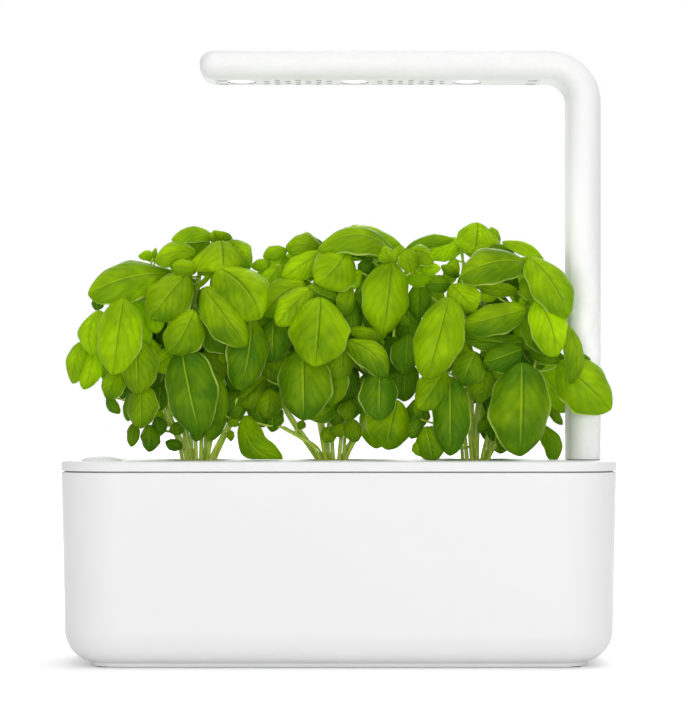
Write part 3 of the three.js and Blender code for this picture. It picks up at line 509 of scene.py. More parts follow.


# map u runs across the blade and v from foot to tip; the glow is set per leaf, and the tone per point, with
# painted light where the blade faces up and painted shade towards its foot
def leafFinish():
    look = leafLook
    net = Finish("basilLeaf")
    at = net.at
    u, along, _ = net.split(net.where["UV"])
    aside = net.times(net.minus(u, 0.5), 2)
    across = net.size(aside)

    # side veins leave the midrib and bend forward to the tip
    bend = net.times(net.power(across, 2), look["veinBend"])
    slope = net.plus(net.times(across, look["veinSlope"]), bend)
    phase = net.minus(net.times(along, look["veins"]), slope)
    phase = net.plus(phase, net.times(net.noise(at, *look["wander"]), look["wanderReach"]))
    fold = net.size(net.minus(net.math("FRACT", phase), 0.5))
    vein = net.spread(fold, 0, look["veinWidth"], 1, 0)
    vein = net.times(vein, net.spread(across, *look["veinEnd"], 1, 0))
    vein = net.times(vein, net.spread(net.noise(at, *look["uneven"]), *look["unevenRange"]))
    quilt = net.minus(1, net.power(net.times(fold, 2), look["quiltPower"]))

    # the midrib gets a painted highlight line with a painted shade line beside it, and both end before the
    # tip; the side veins take a little of each
    ending = net.spread(along, *look["lineEnd"], 1, 0)
    lines = []
    for middle, inner, outer in (look["litLine"], look["shadedLine"]):
        line = net.spread(net.size(net.minus(aside, middle)), inner, outer, 1, 0)
        lines.append(net.times(line, ending))
    lit = net.most(lines[0], net.times(vein, look["litVein"]))
    shaded = net.most(lines[1], net.times(vein, look["shadedVein"]))

    # each leaf's tone drifts in clouds and patches, and painted light and shade follow the quilting: lighter
    # in the middle between its veins, darker along them
    cloud = net.spread(net.noise(at, *look["cloud"]), *noiseMiddle, *look["cloudTone"])
    patch = net.spread(net.noise(at, *look["patch"]), *look["patchRange"])
    level = net.plus(net.plus(net.attribute("leafToneAndPaintedLight"), cloud), patch)
    level = net.plus(level, net.spread(quilt, 0, 1, *look["quiltLightAndShade"]), clamp=True)
    colour = net.blend(net.power(level, look["contrast"]), look["deep"], look["fresh"])
    colour = net.blend(net.times(lit, look["litShare"]), colour, look["rib"])
    colour = net.blend(net.times(shaded, look["ribShadeShare"]), colour, look["ribShade"])
    # painted highlight: a pale rim along both edges of the blade, broken up by a noise
    highlightCatches = net.spread(net.noise(at, *look["catch"]), *look["catchRange"])
    rim = net.times(net.spread(across, *look["rimHighlightRange"]), highlightCatches)
    net.put("Base Color", net.blend(rim, colour, look["rim"]))

    fine = net.noise(at, *look["fine"])
    net.put("Roughness", net.spread(fine, *noiseMiddle, *look["gloss"]))
    net.put("Specular IOR Level", look["mirror"])
    midrib = net.spread(across, *look["midrib"], 1, 0)
    grooves = net.plus(net.times(midrib, look["midribDepth"]), vein)
    relief = net.plus(net.times(quilt, look["quiltDepth"]), net.times(grooves, look["grooveDepth"]))
    normal = net.bump(relief, look["relief"], look["reliefStrength"])
    normal = net.bump(fine, look["fineRelief"], look["reliefStrength"], Normal=normal)
    net.put("Normal", normal)

    # some light comes through the blade
    glow = net.add("BsdfTranslucent", Color=look["through"], Normal=normal)
    mixed = net.mixShaders(net.attribute("leafGlow"), net.shader.outputs["BSDF"], glow.outputs["BSDF"])
    net.feed(net.nodes["Material Output"].inputs["Surface"], mixed)
    return net.material


# painted shade for the joints of the white shells and for the holes in the lamp's cover; reach is in metres
jointPaintedShade = {"reach": 0.0025, "closed": 0.15, "open": 0.6, "shade": 0.9}
ventPaintedShade = {"reach": 0.004, "closed": 0.35, "open": 0.92, "shade": 0.9}

whiteShell = mouldedPlastic("whiteShell", (0.880, 0.882, 0.880), 0.42, mirror=0.22, paintedShade=jointPaintedShade)
satinWhite = mouldedPlastic("satinWhite", (0.88, 0.882, 0.882), 0.42, 0.000004, mirror=0.22)
coverWhite = mouldedPlastic(
    "coverWhite", (0.88, 0.882, 0.882), 0.42, 0.000004, mirror=0.1, paintedShade=ventPaintedShade
)
padRubber = mouldedPlastic("padRubber", (0.09, 0.095, 0.10), 0.8, 0.00006, 1500, 0.01)
contactBlack = mouldedPlastic("contactBlack", (0.02, 0.021, 0.023), 0.45, 0.00003, 2000, 0.004)
cableSheath = mouldedPlastic("cableSheath", (0.014, 0.015, 0.016), 0.55, 0.00003, 1600, 0.003)
floatFoam = mouldedPlastic("floatFoam", (0.68, 0.64, 0.55), 0.9, 0.0002, 1100, 0.04)
cupPlastic = mouldedPlastic("cupPlastic", (0.042, 0.045, 0.046), 0.5, 0.00003, 1800, 0.006)
boardWhite = mouldedPlastic("boardWhite", (0.82, 0.82, 0.78), 0.4, 0.00002, 900)
boardGreen = mouldedPlastic("boardGreen", (0.03, 0.145, 0.055), 0.38, 0.00002, 900, 0.01)
ledPhosphor = mouldedPlastic("ledPhosphor", (0.88, 0.66, 0.12), 0.5, 0.00003, 2200, 0.03)
screwSteel = metalFinish("screwSteel", (0.62, 0.64, 0.65), 0.32, (60, 60, 900))
sinkAluminium = metalFinish("sinkAluminium", (0.70, 0.72, 0.73), 0.36, (25, 1500, 1500))
peat = peatFinish()
labelPaper = paperFinish("labelPaper", (0.86, 0.84, 0.78))
wickFelt = paperFinish("wickFelt", (0.80, 0.77, 0.68))
frostedLensPaintedGlow = lensFinish()
basilLeaf = leafFinish()
basilStem = stemFinish()

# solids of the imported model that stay, by their finish
keptNodes = (
    (contactBlack, "base_contacts", "power_inlet", "arm_plug", "arm_contacts", "lamp_plug"),
    (cableSheath, "power_lead", "arm_lead", "lamp_lead"),
    (satinWhite, "arm_socket", "float_guide"),
    (screwSteel, "socket_screw_1", "socket_screw_2"),
    (sinkAluminium, "heat_sink"),
    (boardWhite, "led_board"),
    (boardGreen, "timer_board"),
    (ledPhosphor, "led_1", "led_2", "led_3"),
    (wickFelt, "wick_left", "wick_middle", "wick_right"),
    (floatFoam, "float_puck"),
)
for finish, *nodeNames in keptNodes:
    for nodeName in nodeNames:
        dress(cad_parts[nodeName], finish)
print("finishes made")


# tub and foot

garden = {"width": 305, "depth": 121, "corner": 32, "cornerSteps": 16}


# a block with the lid's rounded outline, moved in by an inset
def addRoundBlock(name, inset, bottom, top):
    x = garden["width"] / 2 - inset
    y = garden["depth"] / 2 - inset
    piece = addBlock(name, (-x, -y, bottom), (x, y, top))
    enterEdit(piece)
    pickEdges(piece, isUpright)
    roundPicked(garden["corner"] - inset, garden["cornerSteps"])
    leaveEdit()
    return piece


tubSizes = {
    "inset": 0.15, "taper": 2.04, "bottom": 2, "top": 106.3, "fillet": 17.5, "filletSteps": 12, "rim": 0.2,
    "lipInset": 1.85, "lipHeight": 2.9, "lipWall": 1.15, "floor": 6.2, "innerFillet": 14, "innerSteps": 8,
    "ringInset": 15.7, "ringWidth": 8.6, "ringTop": 4.2,
    "notchLeft": 100.7, "notchRight": 115.3, "notchFront": 50, "notchBottom": 96.2, "notchTop": 116.3,
}


def taperPicked():
    x = garden["width"] / 2 - tubSizes["inset"]
    y = garden["depth"] / 2 - tubSizes["inset"]
    resizePicked((x - tubSizes["taper"]) / x, (y - tubSizes["taper"]) / y)


def makeTub():
    t = tubSizes
    tub = addRoundBlock("tubShell", t["inset"], t["bottom"], t["top"])
    enterEdit(tub)
    pickFaces(tub, facesDown)
    taperPicked()
    pickEdges(tub, isLevelAt(t["bottom"]))
    roundPicked(t["fillet"], t["filletSteps"])
    pickFaces(tub, facesUp)
    insetPicked(t["lipInset"])
    pushPicked(t["lipHeight"])
    insetPicked(t["lipWall"])
    pushPicked(t["floor"] - t["top"] - t["lipHeight"])
    taperPicked()
    pickEdges(tub, isLevelAt(t["floor"]))
    roundPicked(t["innerFillet"], t["innerSteps"])
    leaveEdit()
    ring = addRoundBlock("ringCut", t["ringInset"], 0, t["ringTop"])
    openRing(ring, t["ringWidth"])
    cutWith(tub, ring)
    low = (t["notchLeft"], t["notchFront"], t["notchBottom"])
    high = (t["notchRight"], garden["depth"], t["notchTop"])
    cutWith(tub, addBlock("notchCut", low, high))
    finishPiece(tub, t["rim"], "tub", "white_shell", whiteShell, "tub")


footSizes = {
    "inset": 16, "width": 8, "bottom": 0.6, "top": 3.9, "rim": 0.5,
    "pads": ((-129, -37), (129, -37), (129, 37), (-129, 37)), "pad": 3.4, "padTop": 1.6, "padGap": 0.3,
    "padEdge": 0.5, "padEdgeSteps": 4, "soleShare": 0.999, "treadRim": 1.1, "treadDepth": 0.15,
}


def makeFoot():
    f = footSizes
    ring = addRoundBlock("footRing", f["inset"], f["bottom"], f["top"])
    openRing(ring, f["width"])
    wide = f["pad"] + f["padGap"]
    high = f["padTop"] + f["padGap"]
    cutWith(ring, *addRods("padCut", wide, 0, high, f["pads"], smallSides))
    finishPiece(ring, f["rim"], "tub", "white_matt", satinWhite, "foot_ring")
    pad = addRod("footPad1", f["pad"], 0, f["padTop"], *f["pads"][0], screwSides)
    enterEdit(pad)
    pickEdges(pad, isLevelAt(0))
    roundPicked(f["padEdge"], f["padEdgeSteps"])
    pickFaces(pad, lambda at, normal: normal.z < -f["soleShare"])
    insetPicked(f["treadRim"])
    pushPicked(f["treadDepth"])
    leaveEdit()
    finishSurface(pad)
    placeCopies(pad, "footPad", f["pads"], "tub", "grey_rubber", padRubber, "foot_pad")


makeTub()
makeFoot()
print("tub and foot made")


# lid and float cap

lidSizes = {
    "bottom": 107.1, "top": 112.5, "fillet": 1.8, "filletSteps": 6, "skirtWall": 1.6, "under": 109.5,
    "podX": (-79.6, -1.1, 77.4), "podHole": 19.6, "recess": 22.3, "recessFloor": 111.0, "rim": 0.14,
    "mouthWidth": 16, "mouthLength": 30, "mouthY": 18,
    "bossY": 25.5, "boss": 3.6, "bossBottom": 103.5, "bossSink": 0.5,
}
armSizes = {
    "x": 136.7, "thick": 18, "flat": 21.5, "wall": 1.8, "holeInset": 0.9, "bottom": 112.8, "seam": 156.7,
    "seamGap": 0.3, "spigotInset": 2.6, "spigotBottom": 88.3, "floor": 115.8, "rim": 0.3, "rimSteps": 3,
    "steps": 12, "roundShare": 0.999, "merge": 0.03,
}
floatSizes = {
    "x": -129.6, "y": -38, "hole": 12, "dome": 10.8, "stem": 2.2,
    "domeBottom": 110.9, "domeRim": 112.4, "domeTop": 115.5, "domeSteps": 14, "stemBottom": 88.9,
}


# an upright pillar with two round edges, as long in Y as flat plus its thickness
def addPillar(name, thick, flat, bottom, top, x=armSizes["x"], y=0):
    half = thick / 2
    piece = addBlock(name, (x - half, y - flat / 2 - half, bottom), (x + half, y + flat / 2 + half, top))
    enterEdit(piece)
    pickEdges(piece, isUpright)
    roundPicked(half * armSizes["roundShare"], armSizes["steps"])
    bpy.ops.mesh.select_all(action="SELECT")
    bpy.ops.mesh.remove_doubles(threshold=armSizes["merge"] * mm)
    leaveEdit()
    return piece


def makeLid():
    s = lidSizes
    a = armSizes
    f = floatSizes
    lid = addRoundBlock("lidShell", 0, s["bottom"], s["top"])
    enterEdit(lid)
    pickEdges(lid, isLevelAt(s["top"]))
    roundPicked(s["fillet"], s["filletSteps"])
    pickFaces(lid, facesDown)
    insetPicked(s["skirtWall"])
    pushPicked(s["under"] - s["bottom"])
    leaveEdit()
    low = s["under"] - cutOver
    high = s["top"] + cutOver
    pods = [(x, 0) for x in s["podX"]]
    holes = addRods("podCut", s["podHole"], low, high, pods, holeSides)
    holes.append(addRod("floatCut", f["hole"], low, high, f["x"], f["y"]))
    flat = s["mouthLength"] - s["mouthWidth"]
    holes.append(addPillar("mouthCut", s["mouthWidth"], flat, low, high, f["x"], s["mouthY"]))
    holes.append(addPillar("armCut", a["thick"] - 2 * a["holeInset"], a["flat"], low, high))
    cutWith(lid, *holes)
    cutWith(lid, *addRods("recessCut", s["recess"], s["recessFloor"], high, pods, holeSides))
    softenRims(lid, s["rim"])
    spots = [(a["x"], -s["bossY"]), (a["x"], s["bossY"])]
    high = s["under"] + s["bossSink"]
    lid = joinPieces([lid, *addRods("boss", s["boss"], s["bossBottom"], high, spots, smallSides)])
    finishSurface(lid)
    place(lid, "lid", "white_shell", whiteShell, "lid")


def makeFloatCap():
    f = floatSizes
    cap = addRod("floatCap", f["dome"], f["domeBottom"], f["domeRim"], f["x"], f["y"], wideSides)
    enterEdit(cap)
    pickFaces(cap, facesUp)
    angles = [math.pi / 2 * i / f["domeSteps"] for i in range(f["domeSteps"])]
    rise = f["domeTop"] - f["domeRim"]
    for last, angle in zip(angles, angles[1:]):
        inward = f["dome"] * (math.cos(last) - math.cos(angle))
        upward = rise * (math.sin(angle) - math.sin(last))
        bpy.ops.mesh.inset(thickness=inward * mm, depth=upward * mm)
    pickFaces(cap, facesDown)
    insetPicked(f["dome"] - f["stem"])
    pushPicked(f["stemBottom"] - f["domeBottom"])
    leaveEdit()
    finishSurface(cap)
    place(cap, "float", "white_shell", whiteShell, "float_cap")


makeLid()
makeFloatCap()
print("lid and float made")


# lamp arm and lamp

lampSizes = {
    "top": 340.9, "thick": 16.8, "left": -77.6, "elbow": 20, "elbowSteps": 16, "endSteps": 10,
    "endShort": 0.05, "rim": 0.2, "rimAngle": 60, "coverRim": 0.15, "gap": 0.15,
    "coverLeft": -68.6, "coverRight": 112, "coverHalf": 10.45, "coverCorner": 2, "cornerSteps": 5,
    "coverPlate": 1.8,
    "vents": (-22.85, 40.25), "vent": 1.7, "ventColumns": 7, "ventPitch": 5.8, "ventRow": 4.0,
    "screws": ((-65, -7), (108, -7), (108, 7), (-65, 7)), "headGap": 0.3, "headSeat": 1.05,
}


def makeArmTube():
    a = armSizes
    tube = addPillar("armTube", a["thick"], a["flat"], a["bottom"], a["seam"])
    enterEdit(tube)
    pickFaces(tube, facesUp)
    insetPicked(a["wall"])
    pushPicked(a["floor"] - a["seam"])
    pickFaces(tube, facesDown)
    insetPicked(a["spigotInset"])
    pushPicked(a["spigotBottom"] - a["bottom"])
    insetPicked(a["wall"])
    pushPicked(a["bottom"] - a["spigotBottom"])
    leaveEdit()
    placing = ("extension_arm", "white_shell", whiteShell, "arm_tube")
    finishPiece(tube, a["rim"], *placing, segments=a["rimSteps"])


# the middle of the elbow's bend
def elbowCentre():
    s = lampSizes
    return Vector((armSizes["x"] - s["elbow"], 0, s["top"] - s["thick"] / 2 - s["elbow"]))


# the closed outside of the lamp and its upper arm, from a pillar that is spun round the elbow
def addLampBody(name):
    a = armSizes
    s = lampSizes
    centre = elbowCentre()
    body = addPillar(name, a["thick"], a["flat"], a["seam"] + a["seamGap"], centre.z)
    enterEdit(body)
    pickFaces(body, facesUp)
    bpy.ops.mesh.delete(type="ONLY_FACE")
    pickEdges(body, isLevelAt(centre.z))
    bpy.ops.mesh.spin(steps=s["elbowSteps"], angle=math.pi / 2, center=centre * mm, axis=(0, 1, 0))
    pushPicked(0, x=s["left"] - centre.x)
    bpy.ops.mesh.edge_face_add()
    roundPicked(s["thick"] / 2 - s["endShort"], s["endSteps"])
    leaveEdit()
    return body


# the section thins from the mast's thickness to the lamp's on its way round the elbow
def thinLamp(body):
    centre = elbowCentre()
    ratio = lampSizes["thick"] / armSizes["thick"]
    for vertex in body.data.vertices:
        at = vertex.co / mm
        if at.z <= centre.z + 0.001:
            continue
        out = Vector((max(0, at.x - centre.x), 0, at.z - centre.z))
        share = math.atan2(out.z, out.x) / (math.pi / 2)
        scale = 1 + (ratio - 1) * share
        at += (out - out.normalized() * lampSizes["elbow"]) * (scale - 1)
        edge = max(0, abs(at.y) - armSizes["flat"] / 2) * (1 - scale)
        at.y -= math.copysign(edge, at.y)
        vertex.co = at * mm


# a flat plate in the lamp's underside, grown by a gap
def addCoverPlate(name, gap, bottom, top):
    s = lampSizes
    half = s["coverHalf"] + gap
    plate = addBlock(name, (s["coverLeft"] - gap, -half, bottom), (s["coverRight"] + gap, half, top))
    enterEdit(plate)
    pickEdges(plate, isUpright)
    roundPicked(s["coverCorner"] + gap, s["cornerSteps"])
    leaveEdit()
    return plate


def makeShell():
    a = armSizes
    s = lampSizes
    under = s["top"] - s["thick"]
    shell = addLampBody("lampShell")
    thinLamp(shell)
    enterEdit(shell)
    pickFaces(shell, lambda at, normal: facesDown(at, normal) and at.z < a["seam"] + 1)
    bpy.ops.mesh.delete(type="ONLY_FACE")
    leaveEdit()
    applyModifier(shell, "SOLIDIFY", thickness=a["wall"] * mm, offset=-1, use_even_offset=False)
    # an edge along the middle, so that the opening leaves no face that closes on itself
    enterEdit(shell)
    bpy.ops.mesh.select_all(action="SELECT")
    bpy.ops.mesh.bisect(plane_co=(0, 0, 0), plane_no=(0, 1, 0))
    leaveEdit()
    high = under + a["wall"] + 2 * cutOver
    cutWith(shell, addCoverPlate("openingCut", s["gap"], under - cutOver, high))
    finishPiece(shell, s["rim"], "lamp", "white_shell", whiteShell, "lamp_shell", angle=s["rimAngle"])


lensSizes = {
    "spots": ((-54.4, 0), (8.7, 0), (71.8, 0)), "smoothAngle": 50,
    "radius": 7.75, "gap": 0.3, "flange": 9.4, "floor": 326.2, "top": 327.0,
    "bottom": 324.8, "crown": ((0.9, -0.35), (1.2, -0.2), (2, -0.05)),
}
screwSizes = {
    "head": 2.4, "rise": 0.25, "thick": 0.9, "edge": 0.35, "edgeSteps": 3, "shank": 1.15, "length": 9,
    "slot": 1.4, "slotHalf": 0.28, "slotDepth": 0.5,
}


def makeCover():
    s = lampSizes
    under = s["top"] - s["thick"]
    cover = addCoverPlate("lampCover", 0, under, under + s["coverPlate"])
    low = under - cutOver
    high = under + s["coverPlate"] + cutOver
    # a vent's column has three holes and the next one two
    vents = [
        (middle + (column - s["ventColumns"] // 2) * s["ventPitch"], row * s["ventRow"])
        for middle in s["vents"]
        for column in range(s["ventColumns"])
        for row in ((-2, 0, 2) if column % 2 else (-1, 1))
    ]
    lensHole = lensSizes["radius"] + lensSizes["gap"]
    headHole = screwSizes["head"] + s["headGap"]
    cuts = addRods("lensCut", lensHole, low, high, lensSizes["spots"], plainSides)
    cuts += addRods("ventCut", s["vent"], low, high, vents, tinySides)
    cuts += addRods("headCut", headHole, low, under + s["headSeat"], s["screws"], smallSides)
    cutWith(cover, *cuts)
    finishPiece(cover, s["coverRim"], "lamp", "white_matt", coverWhite, "lamp_cover", angle=s["rimAngle"])


def makeLenses():
    s = lensSizes
    lens = addRod("lens1", s["flange"], s["floor"], s["top"], *s["spots"][0], wideSides)
    enterEdit(lens)
    pickFaces(lens, facesDown)
    insetPicked(s["flange"] - s["radius"])
    pushPicked(s["bottom"] - s["floor"])
    for width, rise in s["crown"]:
        insetPicked(width, rise)
    leaveEdit()
    finishSurface(lens, s["smoothAngle"])
    placeCopies(lens, "lens", s["spots"], "lamp", "lens_glass", frostedLensPaintedGlow, "lens")


def makeCoverScrews():
    s = screwSizes
    spots = lampSizes["screws"]
    x, y = spots[0]
    bottom = lampSizes["top"] - lampSizes["thick"] + s["rise"]
    screw = addRod("coverScrew1", s["head"], bottom, bottom + s["thick"], x, y, screwSides)
    enterEdit(screw)
    pickEdges(screw, isLevelAt(bottom))
    roundPicked(s["edge"], s["edgeSteps"])
    pickFaces(screw, facesUp)
    insetPicked(s["head"] - s["shank"])
    pushPicked(s["length"])
    leaveEdit()
    bars = []
    for name, across, along in (("slotA", s["slot"], s["slotHalf"]), ("slotB", s["slotHalf"], s["slot"])):
        low = (x - across, y - along, bottom - cutOver)
        high = (x + across, y + along, bottom + s["slotDepth"])
        bars.append(addBlock(name, low, high))
    cutWith(screw, *bars)
    finishSurface(screw)
    placeCopies(screw, "coverScrew", spots, "lamp", "white_matt", satinWhite, "cover_screw")


makeArmTube()
makeShell()
makeCover()
makeLenses()
makeCoverScrews()
print("arm and lamp made")


# pods

podSizes = {
    "flange": 22, "flangeBottom": 111.3, "flangeTop": 112.4, "top": 19, "base": 15, "bottom": 56.0,
    "wall": 1.2, "rim": 0.25,
    "slots": 3, "slotReach": 30, "slotHalf": 2.5, "slotBottom": 63, "slotTop": 83.5,
    "wickHole": 3.6, "wickBottom": 50, "wickTop": 60,
    "soil": 17.3, "soilBase": 0.79, "soilBottom": 60, "soilTop": 109.3, "dish": 11, "dishFloor": 105.9,
    "dishRings": 4, "dishStep": 2, "slack": 0.1, "soilAngle": 60,
    "heap": 0.8, "crumb": 0.5, "crumbTurns": (2.3, 1.1, 2.9, -0.7),
    "label": 17.2, "labelHole": 11.1, "labelBottom": 109.6, "labelTop": 110.2, "labelRim": 0.08,
}


def makeCup(side, body, x):
    p = podSizes
    cup = addRod(f"podCup_{side}", p["top"], p["bottom"], p["flangeBottom"], x, 0, wideSides)
    enterEdit(cup)
    pickFaces(cup, facesDown)
    resizePicked(p["base"] / p["top"], x=x)
    pickFaces(cup, facesUp)
    bpy.ops.mesh.extrude_region_move()
    resizePicked(p["flange"] / p["top"], x=x)
    pushPicked(p["flangeTop"] - p["flangeBottom"])
    insetPicked(p["flange"] - p["top"] + p["wall"])
    pushPicked(p["bottom"] + p["wall"] - p["flangeTop"])
    resizePicked((p["base"] - p["wall"]) / (p["top"] - p["wall"]), x=x)
    leaveEdit()
    low = (-p["slotReach"], -p["slotHalf"], p["slotBottom"])
    high = (p["slotReach"], p["slotHalf"], p["slotTop"])
    cuts = []
    for i in range(p["slots"]):
        bar = addBlock(f"bar{i}", low, high)
        bar.data.transform(Matrix.Rotation(math.pi * i / p["slots"], 4, "Z"))
        bar.data.transform(Matrix.Translation((x * mm, 0, 0)))
        cuts.append(bar)
    cuts.append(addRod("wickCut", p["wickHole"], p["wickBottom"], p["wickTop"], x, 0, smallSides))
    cutWith(cup, *cuts)
    finishPiece(cup, p["rim"], body, "cup_plastic", cupPlastic, f"pod_cup_{side}")


# a plug of soil with a dish at its top, where crumbs are heaped
def makeSoil(side, body, x):
    p = podSizes
    soil = addRod(f"soil_{side}", p["soil"], p["soilBottom"], p["soilTop"], x, 0)
    enterEdit(soil)
    pickFaces(soil, facesDown)
    resizePicked(p["soilBase"], x=x)
    pickFaces(soil, facesUp)
    insetPicked(p["soil"] - p["dish"])
    pushPicked(p["dishFloor"] - p["soilTop"])
    for _ in range(p["dishRings"]):
        insetPicked(p["dishStep"])
    bpy.ops.mesh.poke()
    leaveEdit()
    a, b, c, d = p["crumbTurns"]
    for vertex in soil.data.vertices:
        at = vertex.co / mm
        if at.z > p["dishFloor"] - p["slack"] and math.hypot(at.x - x, at.y) < p["dish"] - p["slack"]:
            crumb = math.sin(at.x * a + at.y * b) * math.sin(at.y * c + at.x * d)
            vertex.co.z += (p["heap"] + p["crumb"] * crumb) * mm
    activate(soil)
    bpy.ops.object.shade_smooth_by_angle(angle=math.radians(p["soilAngle"]))
    place(soil, body, "soil", peat, f"soil_plug_{side}")


def makeLabel(side, body, x):
    p = podSizes
    label = addRod(f"podLabel_{side}", p["label"], p["labelBottom"], p["labelTop"], x, 0, wideSides)
    openRing(label, p["label"] - p["labelHole"])
    finishPiece(label, p["labelRim"], body, "label_paper", labelPaper, f"pod_label_{side}", segments=1)


podBodies = {"left": "pod_left", "middle": "pod_middle", "right": "pod_right"}
podPlaces = dict(zip(podBodies, lidSizes["podX"]))
for side, body in podBodies.items():
    makeCup(side, body, podPlaces[side])
    makeSoil(side, body, podPlaces[side])
    makeLabel(side, body, podPlaces[side])
print("pods made")


# plants: each leaf is drawn where the photograph shows it, and a pixel is pixelSize at the pods
view = {
    "distance": 1460.5, "x": 2.8, "height": 136.5, "lidTop": 112.5, "lidRow": 459.8, "pixelSize": 78.5 / 140,
}
podColumns = {"left": 196, "middle": 337, "right": 476}
